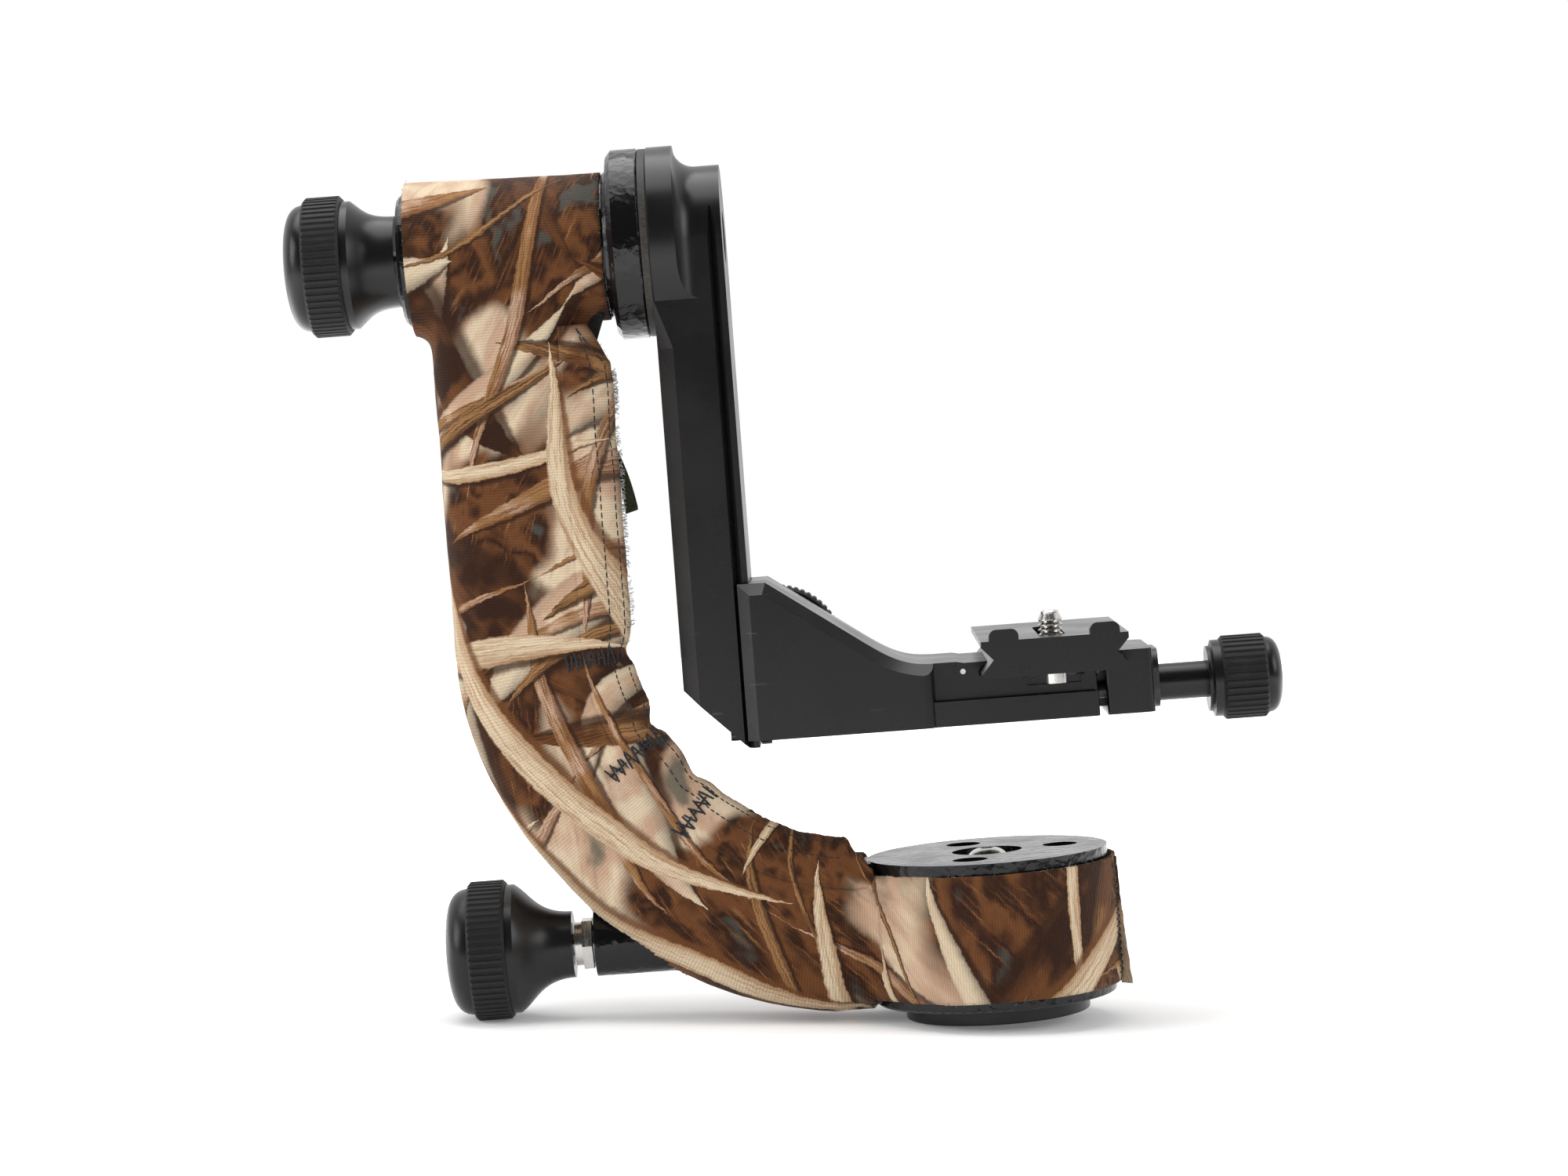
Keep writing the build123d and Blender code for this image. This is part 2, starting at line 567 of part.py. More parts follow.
BOLT_HEAD_R = 6.6
BOLT_HEAD_H = 5.6
with BuildPart() as axle_bolt:
    with BuildSketch(Plane.YZ.offset(AXLE_BOLT_TIP)):
        with Locations((0, TILT_Z)):
            Circle(AXLE_BOLT_R)
    extrude(amount=BOLT_SEAT_X - AXLE_BOLT_TIP)
    with BuildSketch(Plane.YZ.offset(BOLT_SEAT_X)):
        with Locations((0, TILT_Z)):
            Circle(BOLT_HEAD_R)
    extrude(amount=BOLT_HEAD_H)
    fillet(axle_bolt.faces().sort_by(Axis.X)[-1].edges(), 0.6)
    with BuildSketch(Plane.YZ.offset(BOLT_SEAT_X + BOLT_HEAD_H)):
        with Locations((0, TILT_Z)):
            RegularPolygon(3.4, 6)
    extrude(amount=-3.0, mode=Mode.SUBTRACT)
save(axle_bolt, "axle_bolt")

with BuildPart() as cove_cutter:
    with BuildSketch(TILT_AXIS):
        with Locations((ARM_COVE_X, ARM_HALF_W + ARM_COVE_R)):
            Circle(ARM_COVE_R)
    revolve(axis=Axis(TILT_AXIS.origin, TILT_AXIS.x_dir))
    split(bisect_by=Plane.XY.offset(TILT_Z), keep=Keep.TOP)

with BuildPart() as swing_arm:
    with BuildSketch(Plane.YZ.offset(ARM_LEFT)):
        with Locations((0, TILT_Z)):
            Circle(ARM_HALF_W)
        with Locations((0, (TILT_Z + ARM_BOTTOM_RIGHT_Z) / 2)):
            Rectangle(2 * ARM_HALF_W, TILT_Z - ARM_BOTTOM_RIGHT_Z)
    extrude(amount=ARM_RIGHT - ARM_LEFT)
    # Slanted lower end
    with BuildSketch(Plane.XZ.offset(-ARM_HALF_W - 1)):
        with BuildLine():
            Polyline((ARM_LEFT - 1, ARM_BOTTOM_LEFT_Z + 1), (ARM_LEFT - 1, 60), (ARM_BOTTOM_RIGHT_X, 60),
                     (ARM_BOTTOM_RIGHT_X, ARM_BOTTOM_RIGHT_Z), close=True)
        make_face()
    extrude(amount=2 * ARM_HALF_W + 2, mode=Mode.SUBTRACT)
    # Long edge chamfers that run out below the disc
    for side in (-1, 1):
        with BuildSketch(Plane.XY.offset(ARM_CHAMFER_FULL)):
            with BuildLine():
                Polyline((ARM_LEFT, side * ARM_HALF_W), (ARM_LEFT + ARM_CHAMFER, side * ARM_HALF_W),
                         (ARM_LEFT, side * (ARM_HALF_W - ARM_CHAMFER)), close=True)
            make_face()
        extrude(amount=-(ARM_CHAMFER_FULL - 70), mode=Mode.SUBTRACT)
        with BuildSketch(Plane.XY.offset(ARM_CHAMFER_FULL)):
            with BuildLine():
                Polyline((ARM_LEFT, side * ARM_HALF_W), (ARM_LEFT + ARM_CHAMFER, side * ARM_HALF_W),
                         (ARM_LEFT, side * (ARM_HALF_W - ARM_CHAMFER)), close=True)
            make_face()
        with BuildSketch(Plane.XY.offset(ARM_CHAMFER_TOP)):
            with BuildLine():
                Polyline((ARM_LEFT, side * ARM_HALF_W), (ARM_LEFT + 0.05, side * ARM_HALF_W),
                         (ARM_LEFT, side * (ARM_HALF_W - 0.05)), close=True)
            make_face()
        loft(mode=Mode.SUBTRACT)
    # Disc under the washer, with a cove that follows the bar's round top and runs out down its flanks
    with BuildSketch(TILT_AXIS):
        with BuildLine():
            Polyline((ARM_LEFT, 0), (ARM_LEFT, ARM_DISC_R - 0.4), (ARM_LEFT + 0.4, ARM_DISC_R),
                     (ARM_COVE_X, ARM_DISC_R), (ARM_COVE_X, 0), close=True)
        make_face()
    revolve(axis=Axis(TILT_AXIS.origin, TILT_AXIS.x_dir))
    add(cove_cutter.part, mode=Mode.SUBTRACT)
    for side in (-1, 1):
        with BuildSketch(Plane.XY.offset(TILT_Z)):
            with Locations((ARM_COVE_X, side * (ARM_HALF_W + ARM_COVE_R))):
                Circle(ARM_COVE_R)
        extrude(amount=-ARM_DISC_R, mode=Mode.SUBTRACT)
    # Dovetail grooves down both edges of the rail
    for side in (-1, 1):
        with BuildSketch(Plane.XY.offset(70)):
            with BuildLine():
                Polyline((GROOVE_LEFT, side * (ARM_HALF_W + 0.01)),
                         (GROOVE_APEX_X, side * (ARM_HALF_W - GROOVE_DEPTH)),
                         (GROOVE_RIGHT, side * (ARM_HALF_W + 0.01)), close=True)
            make_face()
        extrude(amount=TILT_Z + 8.0 - 70, mode=Mode.SUBTRACT)
    # Seat of the axle and its bolt
    for start, end, radius in ((ARM_LEFT, AXLE_SPIGOT_RIGHT, AXLE_SPIGOT_R),
                               (AXLE_SPIGOT_RIGHT, BOLT_SEAT_X, AXLE_BOLT_R),
                               (BOLT_SEAT_X, ARM_RIGHT, BOLT_HEAD_R + 0.3)):
        with BuildSketch(Plane.YZ.offset(start)):
            with Locations((0, TILT_Z)):
                Circle(radius)
        extrude(amount=end - start, mode=Mode.SUBTRACT)
    with BuildSketch(Plane.YZ.offset(ARM_RIGHT - STOP_SHANK_L)):
        with Locations((0, STOP_SCREW_Z)):
            Circle(STOP_SHANK_R)
    extrude(amount=STOP_SHANK_L, mode=Mode.SUBTRACT)
save(swing_arm, "swing_arm")

with BuildPart() as rail_stop_screw:
    with BuildSketch(Plane.YZ.offset(ARM_RIGHT - STOP_SHANK_L)):
        with Locations((0, STOP_SCREW_Z)):
            Circle(STOP_SHANK_R)
    extrude(amount=STOP_SHANK_L)
    with BuildSketch(Plane.YZ.offset(ARM_RIGHT)):
        with Locations((0, STOP_SCREW_Z)):
            Circle(STOP_HEAD_R)
    extrude(amount=STOP_HEAD_RIGHT - ARM_RIGHT)
    fillet(rail_stop_screw.faces().sort_by(Axis.X)[-1].edges(), 0.4)
save(rail_stop_screw, "rail_stop_screw")

# ---- Platform --------------------------------------------------------------------------------

RAIL_SPACE_RIGHT = ARM_RIGHT + SLIDE_GAP
RAIL_SPACE_HALF_W = ARM_HALF_W + SLIDE_GAP
GUSSET_RIGHT = -11.0
GUSSET_CORNER_R = 3.0
TONGUE_TIP_X = -59.0  # where the tongues in the rail's grooves end
TONGUE_DEPTH = 1.4
GIB_FRONT = 15.2
FIXED_JAW_LEFT = -3.0
JAW_PIN = (-3.4, 92.0)
JAW_PIN_R = 0.7
FLANK_BOTTOM_X = PLATE_X - PLATE_HALF_W - 0.3
FLANK_TOP_X = FLANK_BOTTOM_X + 2.4
FLANK_BOTTOM_Z = CLAMP_BED_Z + 1.3
GUIDE_ROD_Y = 14.0
GUIDE_ROD_R = 2.0
GUIDE_ROD_LEFT = 12.0
CLAMP_BORE_LEFT = 6.0
JAW_TONGUE_LEFT = 27.0
JAW_TONGUE_BOTTOM = 79.6
JAW_TONGUE_TOP = 88.3
JAW_TONGUE_HALF_W = 10.5
CLAMP_SCREW_TIP = 12.0
CLAMP_SCREW_R = 3.0
GIB_LEFT = PLATFORM_LEFT
GIB_RIGHT = -48.0
GIB_BOTTOM = 84.5
GIB_TOP = 112.0
GIB_BACK = 20.6
HEIGHT_STUD_TIP_Y = GIB_BACK

with BuildPart() as platform_bracket:
    # Gusset that grips the rail, with a bevel round its sloping top and its outer edge
    with BuildSketch(Plane.XZ.offset(-PLATFORM_HALF_W)):
        with BuildLine():
            Polyline((PLATFORM_LEFT, PLATFORM_BOTTOM), (PLATFORM_LEFT, PLATFORM_TOP),
                     (-52.8, PLATFORM_TOP), (-27.8, 101.0))
            Bezier((-27.8, 101.0), (-21.5, 96.5), (-17.5, PLATFORM_WAIST_Z),
                   (GUSSET_RIGHT, PLATFORM_WAIST_Z))
            Polyline((GUSSET_RIGHT, PLATFORM_WAIST_Z), (GUSSET_RIGHT, PLATFORM_BOTTOM),
                     (PLATFORM_LEFT, PLATFORM_BOTTOM))
        make_face()
    extrude(amount=2 * PLATFORM_HALF_W)
    for side in (-1, 1):
        faces = platform_bracket.faces().filter_by(Axis.Y).sort_by(Axis.Y)
        flank = faces[0] if side < 0 else faces[-1]
        rim = [edge for edge in flank.edges() if edge.center().Z > PLATFORM_BOTTOM + 1
               and edge.center().X < GUSSET_RIGHT - 0.5]
        chamfer(rim, PLATFORM_BEVEL)
    fillet(platform_bracket.edges().filter_by(Axis.Z).group_by(Axis.X)[-1], GUSSET_CORNER_R)
    # Clamp base: a broad lower slab, a set-back ledge above it and the fixed jaw
    with BuildSketch(Plane.XZ.offset(-CLAMP_HALF_W)):
        with BuildLine():
            Polyline((GUSSET_RIGHT - 1, PLATFORM_BOTTOM), (GUSSET_RIGHT - 1, CLAMP_LEDGE_Z),
                     (CLAMP_RIGHT, CLAMP_LEDGE_Z), (CLAMP_RIGHT, PLATFORM_BOTTOM), close=True)
        make_face()
    extrude(amount=2 * CLAMP_HALF_W)
    ledge_half_w = CLAMP_HALF_W - 2.5
    with BuildSketch(Plane.XZ.offset(-ledge_half_w)):
        with BuildLine():
            Polyline((GUSSET_RIGHT - 1, CLAMP_LEDGE_Z), (GUSSET_RIGHT - 1, PLATFORM_WAIST_Z),
                     (FIXED_JAW_LEFT - 2.0, PLATFORM_WAIST_Z), (FIXED_JAW_LEFT, JAW_TOP),
                     (FLANK_TOP_X, JAW_TOP), (FLANK_BOTTOM_X, FLANK_BOTTOM_Z),
                     (FLANK_BOTTOM_X, CLAMP_BED_Z), (CLAMP_RIGHT, CLAMP_BED_Z),
                     (CLAMP_RIGHT, CLAMP_LEDGE_Z), close=True)
        make_face()
    extrude(amount=2 * ledge_half_w)
    upright_edges = platform_bracket.edges().filter_by(Axis.Z)
    fillet([edge for edge in upright_edges if edge.center().X > CLAMP_RIGHT - 1], 1.2)
    # Bed relief that the plate's stop screws travel in
    with BuildSketch(Plane.XY.offset(CLAMP_BED_Z)):
        with Locations((PLATE_X, 0)):
            Rectangle(16.0, 2 * CLAMP_HALF_W)
    extrude(amount=-1.6, mode=Mode.SUBTRACT)
    for side in (-1, 1):
        with BuildSketch(Plane.XZ.offset(-side * ledge_half_w)):
            with Locations((PLATE_X, CLAMP_BED_Z)):
                Rectangle(14.0, 7.0)
        extrude(amount=side * 0.9, both=True, mode=Mode.SUBTRACT)
    # Channel for the arm's rail, leaving a tongue in its front groove
    with BuildSketch(Plane.XY.offset(PLATFORM_BOTTOM - 1)):
        with BuildLine():
            Polyline((PLATFORM_LEFT - 1, TONGUE_DEPTH - RAIL_SPACE_HALF_W),
                     (PLATFORM_LEFT, TONGUE_DEPTH - RAIL_SPACE_HALF_W),
                     (TONGUE_TIP_X, -RAIL_SPACE_HALF_W), (RAIL_SPACE_RIGHT, -RAIL_SPACE_HALF_W),
                     (RAIL_SPACE_RIGHT, RAIL_SPACE_HALF_W),
                     (PLATFORM_LEFT - 1, RAIL_SPACE_HALF_W), close=True)
        make_face()
    extrude(amount=PLATFORM_TOP - PLATFORM_BOTTOM + 2, mode=Mode.SUBTRACT)
    # Tongue in the rear groove, above and below the sliding gib
    for low, high in ((PLATFORM_BOTTOM, GIB_BOTTOM - 0.4), (GIB_TOP + 0.4, PLATFORM_TOP - PLATFORM_BEVEL)):
        with BuildSketch(Plane.XY.offset(low)):
            with BuildLine():
                Polyline((PLATFORM_LEFT, RAIL_SPACE_HALF_W + 0.2),
                         (PLATFORM_LEFT, RAIL_SPACE_HALF_W - TONGUE_DEPTH),
                         (TONGUE_TIP_X, RAIL_SPACE_HALF_W),
                         (TONGUE_TIP_X, RAIL_SPACE_HALF_W + 0.2), close=True)
            make_face()
        extrude(amount=high - low)
    # Pocket of the gib, open towards the arm, and the bore of its screw
    with BuildSketch(Plane.XY.offset(GIB_BOTTOM - 0.2)):
        with Locations(((PLATFORM_LEFT + GIB_RIGHT - 0.8) / 2, (GIB_FRONT + GIB_BACK + 1.6) / 2)):
            Rectangle(GIB_RIGHT - PLATFORM_LEFT + 1.2, GIB_BACK - GIB_FRONT + 2.0)
    extrude(amount=GIB_TOP - GIB_BOTTOM + 0.4, mode=Mode.SUBTRACT)
    with BuildSketch(Plane.XZ.offset(-PLATFORM_HALF_W - 1)):
        with Locations((HEIGHT_KNOB_X, HEIGHT_KNOB_Z)):
            Circle(STUD_R + RUN_GAP)
    extrude(amount=PLATFORM_HALF_W - GIB_FRONT, mode=Mode.SUBTRACT)
    # Blind slot over the stop screw in the rail's foot
    with BuildSketch(Plane.YZ.offset(RAIL_SPACE_RIGHT - 1)):
        with Locations((0, (PLATFORM_BOTTOM + STOP_SCREW_Z) / 2 - 1.0)):
            Rectangle(2 * STOP_HEAD_R + 0.6, STOP_SCREW_Z - PLATFORM_BOTTOM + 2.0)
        with Locations((0, STOP_SCREW_Z)):
            Circle(STOP_HEAD_R + 0.3)
    extrude(amount=STOP_HEAD_RIGHT + 0.4 - RAIL_SPACE_RIGHT + 1, mode=Mode.SUBTRACT)
    # Pocket of the moving jaw's tongue
    with BuildSketch(Plane.XZ.offset(-JAW_TONGUE_HALF_W - SLIDE_GAP)):
        with BuildLine():
            Polyline((JAW_TONGUE_LEFT - SLIDE_GAP, JAW_TONGUE_BOTTOM - SLIDE_GAP),
                     (JAW_TONGUE_LEFT - SLIDE_GAP, JAW_TONGUE_TOP + SLIDE_GAP),
                     (CLAMP_RIGHT + 1, JAW_TONGUE_TOP + SLIDE_GAP),
                     (CLAMP_RIGHT + 1, JAW_TONGUE_BOTTOM - SLIDE_GAP), close=True)
        make_face()
    extrude(amount=2 * (JAW_TONGUE_HALF_W + SLIDE_GAP), mode=Mode.SUBTRACT)
    # Bores of the clamp screw and of the guide rods
    for y, radius, left in ((0, CLAMP_SCREW_R + RUN_GAP, CLAMP_BORE_LEFT),
                            (GUIDE_ROD_Y, GUIDE_ROD_R, GUIDE_ROD_LEFT),
                            (-GUIDE_ROD_Y, GUIDE_ROD_R, GUIDE_ROD_LEFT)):
        with BuildSketch(Plane.YZ.offset(left)):
            with Locations((y, CLAMP_AXIS_Z)):
                Circle(radius)
        extrude(amount=CLAMP_RIGHT - left + 1, mode=Mode.SUBTRACT)
    with BuildSketch(Plane.XZ.offset(ledge_half_w)):
        with Locations(JAW_PIN):
            Circle(JAW_PIN_R)
    extrude(amount=-6.0, mode=Mode.SUBTRACT)
save(platform_bracket, "platform_bracket")

with BuildPart() as jaw_pin:
    with BuildSketch(Plane.XZ.offset(ledge_half_w + 0.35)):
        with Locations(JAW_PIN):
            Circle(JAW_PIN_R)
    extrude(amount=-6.35)
save(jaw_pin, "jaw_pin")

GUIDE_ROD_RIGHT = JAW_RIGHT - 2.0
with BuildPart() as guide_rods:
    for y in (-GUIDE_ROD_Y, GUIDE_ROD_Y):
        with BuildSketch(Plane.YZ.offset(GUIDE_ROD_LEFT)):
            with Locations((y, CLAMP_AXIS_Z)):
                Circle(GUIDE_ROD_R)
        extrude(amount=GUIDE_ROD_RIGHT - GUIDE_ROD_LEFT)
save(guide_rods, "guide_rods")

# ---- Height lock -----------------------------------------------------------------------------

with BuildPart() as height_gib:
    with BuildSketch(Plane.XY.offset(GIB_BOTTOM)):
        with BuildLine():
            Polyline((GIB_LEFT, RAIL_SPACE_HALF_W - TONGUE_DEPTH + 0.1),
                     (TONGUE_TIP_X, RAIL_SPACE_HALF_W + 0.05),
                     (RAIL_SPACE_RIGHT, RAIL_SPACE_HALF_W + 0.05), (RAIL_SPACE_RIGHT, GIB_FRONT),
                     (GIB_RIGHT, GIB_FRONT), (GIB_RIGHT, GIB_BACK), (GIB_LEFT, GIB_BACK), close=True)
        make_face()
    extrude(amount=GIB_TOP - GIB_BOTTOM)
save(height_gib, "height_gib")

HEIGHT_KNOB_FACE_Y = PLATFORM_HALF_W + 0.6
knob("height", axial_plane((HEIGHT_KNOB_X, HEIGHT_KNOB_FACE_Y, HEIGHT_KNOB_Z), (0, 1, 0)),
     flare=(12.0, 4.4, 16.8), grip_start=5.0, dome_end=20.6,
     stud=(HEIGHT_STUD_TIP_Y - HEIGHT_KNOB_FACE_Y, 10.0, STUD_R))

# ---- Moving jaw and its knob -----------------------------------------------------------------

with BuildPart() as moving_jaw:
    with BuildSketch(Plane.XZ.offset(-JAW_HALF_W)):
        with BuildLine():
            Polyline((JAW_LEFT, JAW_BOTTOM), (JAW_LEFT, CLAMP_BED_Z - 0.3),
                     (2 * PLATE_X - FLANK_BOTTOM_X, CLAMP_BED_Z - 0.3),
                     (2 * PLATE_X - FLANK_BOTTOM_X, FLANK_BOTTOM_Z),
                     (2 * PLATE_X - FLANK_TOP_X, JAW_TOP + 0.3),
                     (JAW_RIGHT, JAW_TOP + 0.3), (JAW_RIGHT, JAW_BOTTOM), close=True)
        make_face()
    extrude(amount=2 * JAW_HALF_W)
    fillet(moving_jaw.edges().filter_by(Axis.Z).group_by(Axis.X)[-1], 2.2)
    fillet(moving_jaw.edges().filter_by(Axis.Z).group_by(Axis.X)[0], 0.8)
    with BuildSketch(Plane.YZ.offset(JAW_TONGUE_LEFT)):
        with Locations((0, (JAW_TONGUE_BOTTOM + JAW_TONGUE_TOP) / 2)):
            Rectangle(2 * JAW_TONGUE_HALF_W, JAW_TONGUE_TOP - JAW_TONGUE_BOTTOM)
    extrude(amount=JAW_LEFT + 1 - JAW_TONGUE_LEFT)
    for y, radius, right in ((0, CLAMP_SCREW_R + RUN_GAP, JAW_RIGHT),
                             (GUIDE_ROD_Y, GUIDE_ROD_R + RUN_GAP, GUIDE_ROD_RIGHT + 0.2),
                             (-GUIDE_ROD_Y, GUIDE_ROD_R + RUN_GAP, GUIDE_ROD_RIGHT + 0.2)):
        with BuildSketch(Plane.YZ.offset(JAW_TONGUE_LEFT)):
            with Locations((y, CLAMP_AXIS_Z)):
                Circle(radius)
        extrude(amount=right - JAW_TONGUE_LEFT, mode=Mode.SUBTRACT)
save(moving_jaw, "moving_jaw")

JAW_PLATE_T = 2.0
with BuildPart() as jaw_wear_plate:
    with BuildSketch(Plane.YZ.offset(JAW_RIGHT)):
        with Locations((0, 85.9)):
            RectangleRounded(24.0, 15.4, 5.0)
        with Locations((0, CLAMP_AXIS_Z)):
            Circle(CLAMP_SCREW_R + RUN_GAP, mode=Mode.SUBTRACT)
    extrude(amount=JAW_PLATE_T)
save(jaw_wear_plate, "jaw_wear_plate")

CLAMP_SHAFT_LEFT = JAW_RIGHT + JAW_PLATE_T + 0.1
CLAMP_KNOB_FACE = 61.2
with BuildPart() as clamp_knob_shaft:
    with BuildSketch(Plane.YZ.offset(CLAMP_SHAFT_LEFT)):
        with Locations((0, CLAMP_AXIS_Z)):
            Circle(4.85)
            Circle(CLAMP_SCREW_R, mode=Mode.SUBTRACT)
    extrude(amount=CLAMP_KNOB_FACE - CLAMP_SHAFT_LEFT)
save(clamp_knob_shaft, "clamp_knob_shaft")

knob("clamp", axial_plane((CLAMP_KNOB_FACE, 0, CLAMP_AXIS_Z), (1, 0, 0)), flare=(8.6, 1.4, 10.1),
     grip_start=3.6, dome_end=19.7, stud=(CLAMP_SCREW_TIP - CLAMP_KNOB_FACE, 12.0, CLAMP_SCREW_R),
     grip_r=11.04, seat_r=8.6, dome_r=10.0, ribs=36, grip_w=11.9)

# ---- Lens plate ------------------------------------------------------------------------------

HORN_L = 4.5
HORN_CORNER_R = 1.9
SLOT_HALF_L = 22.0
SLOT_Y = -7.0
PLATE_SCREW_R = 1.5
PLATE_SCREW_HEAD_R = 2.75
PLATE_SCREW_HEAD_H = 2.6
PLATE_SCREW_DEPTH = 5.0
PLATE_SCREW_Y = PLATE_HALF_L - 4.4
CAMERA_SCREW_Y = -20.0
HEAD_POCKET_TOP = 95.2
CAMERA_SCREW_TOP = 106.2

plate_outline = [(PLATE_HALF_W - 1.0, PLATE_BOTTOM), (PLATE_HALF_W, PLATE_BOTTOM + 0.9),
                 (PLATE_HALF_W - 3.2, 95.4), (PLATE_HALF_W - 0.2, 98.7), (PLATE_HALF_W - 0.2, PLATE_DECK_Z)]
with BuildPart() as lens_plate:
    with BuildSketch(Plane.XZ.offset(-PLATE_HALF_L)):
        with BuildLine():
            Polyline(*[(PLATE_X + x, z) for x, z in plate_outline],
                     *[(PLATE_X - x, z) for x, z in reversed(plate_outline)], close=True)
        make_face()
    extrude(amount=2 * PLATE_HALF_L)
    with BuildSketch(Plane.XY.offset(PLATE_DECK_Z)):
        for side in (-1, 1):
            with Locations((PLATE_X + side * 12.9, -PLATE_HALF_L + HORN_L / 2)):
                Rectangle(7.6, HORN_L)
    extrude(amount=PLATE_HORN_Z - PLATE_DECK_Z)
    lengthwise_edges = lens_plate.edges().filter_by(Axis.Y)
    fillet([edge for edge in lengthwise_edges if edge.center().Z > PLATE_HORN_Z - 0.1], HORN_CORNER_R)
    with BuildSketch(Plane.XY.offset(PLATE_BOTTOM)):
        with Locations((PLATE_X, SLOT_Y)):
            SlotOverall(2 * SLOT_HALF_L, 2 * SCREW_SLOT_HALF_W, rotation=90)
    extrude(amount=PLATE_DECK_Z - PLATE_BOTTOM, mode=Mode.SUBTRACT)
    with BuildSketch(Plane.XY.offset(PLATE_BOTTOM)):
        with Locations((PLATE_X, SLOT_Y)):
            SlotOverall(2 * SLOT_HALF_L + 8, 2 * SCREW_SLOT_HALF_W + 8, rotation=90)
    extrude(amount=HEAD_POCKET_TOP - PLATE_BOTTOM, mode=Mode.SUBTRACT)
    with BuildSketch(Plane.XY.offset(PLATE_BOTTOM)):
        for y in (-PLATE_SCREW_Y, PLATE_SCREW_Y):
            with Locations((PLATE_X, y)):
                Circle(PLATE_SCREW_R)
    extrude(amount=PLATE_SCREW_DEPTH, mode=Mode.SUBTRACT)
save(lens_plate, "lens_plate")

with BuildPart() as plate_stop_screws:
    for y in (-PLATE_SCREW_Y, PLATE_SCREW_Y):
        with BuildSketch(Plane.XY.offset(PLATE_BOTTOM)):
            with Locations((PLATE_X, y)):
                Circle(PLATE_SCREW_HEAD_R)
        extrude(amount=-PLATE_SCREW_HEAD_H)
        with BuildSketch(Plane.XY.offset(PLATE_BOTTOM)):
            with Locations((PLATE_X, y)):
                Circle(PLATE_SCREW_R)
        extrude(amount=PLATE_SCREW_DEPTH)
        with BuildSketch(Plane.XY.offset(PLATE_BOTTOM - PLATE_SCREW_HEAD_H)):
            with Locations((PLATE_X, y)):
                RegularPolygon(1.4, 6)
        extrude(amount=1.5, mode=Mode.SUBTRACT)
save(plate_stop_screws, "plate_stop_screws")

CAMERA_HEAD_BOTTOM = PLATE_BOTTOM + 0.4
CAMERA_HEAD_TOP = HEAD_POCKET_TOP - 0.9
CAMERA_HEAD_R = 5.8
CAMERA_STUB_TOP = CAMERA_SCREW_TOP - 0.4
CAMERA_STUB_BOTTOM = CAMERA_SCREW_TOP - 0.9
with BuildPart() as slot_washer:
    with BuildSketch(Plane.XY.offset(CAMERA_HEAD_TOP + 0.05)):
        with Locations((PLATE_X, CAMERA_SCREW_Y)):
            Circle(6.2)
            Circle(CAMERA_THREAD_R + 0.1, mode=Mode.SUBTRACT)
    extrude(amount=0.7)
save(slot_washer, "slot_washer")

thread_root_r = CAMERA_THREAD_R - 0.61 * CAMERA_THREAD_PITCH
thread_start = 98.0
turns = int((CAMERA_STUB_BOTTOM - thread_start) / CAMERA_THREAD_PITCH)
thread_profile = []
for turn in range(turns):
    low = thread_start + turn * CAMERA_THREAD_PITCH
    thread_profile += [(thread_root_r, low), (CAMERA_THREAD_R, low + 0.45 * CAMERA_THREAD_PITCH),
                       (CAMERA_THREAD_R, low + 0.6 * CAMERA_THREAD_PITCH)]
with BuildPart() as camera_screw:
    with BuildSketch(Plane(origin=(PLATE_X, CAMERA_SCREW_Y, 0), x_dir=(1, 0, 0), z_dir=(0, -1, 0))):
        with BuildLine():
            Polyline((0, CAMERA_HEAD_BOTTOM), (CAMERA_HEAD_R, CAMERA_HEAD_BOTTOM),
                     (CAMERA_HEAD_R, CAMERA_HEAD_TOP), (CAMERA_THREAD_R, CAMERA_HEAD_TOP),
                     (CAMERA_THREAD_R, thread_start - 0.5), *thread_profile,
                     (thread_root_r, CAMERA_STUB_BOTTOM), (thread_root_r, CAMERA_STUB_TOP),
                     (thread_root_r - 0.5, CAMERA_SCREW_TOP), (0, CAMERA_SCREW_TOP), close=True)
        make_face()
    revolve(axis=Axis((PLATE_X, CAMERA_SCREW_Y, 0), (0, 0, 1)))
    with BuildSketch(Plane.XY.offset(CAMERA_HEAD_BOTTOM)):
        with Locations((PLATE_X, CAMERA_SCREW_Y)):
            RegularPolygon(2.3, 6)
    extrude(amount=2.2, mode=Mode.SUBTRACT)
save(camera_screw, "camera_screw")
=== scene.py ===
"""Visual model of a gimbal tripod head with a fabric sleeve on its C-shaped yoke.

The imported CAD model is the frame. Its metal, rubber and steel pieces keep their shapes and get
procedural finishes here. The sleeve's plain shell is replaced by sewn fabric with a closure fin,
seams, darts, tapes and frayed edges. The pieces are in metres, in the CAD model's own frame, and
the sleeve's own sizes are in millimetres.
"""

from __future__ import annotations

import json
import logging
import math
import random
from dataclasses import dataclass, field
from enum import Enum
from typing import Callable, Iterable, Sequence

import bmesh
import bpy
from mathutils import Matrix, Vector, noise
from mathutils.bvhtree import BVHTree

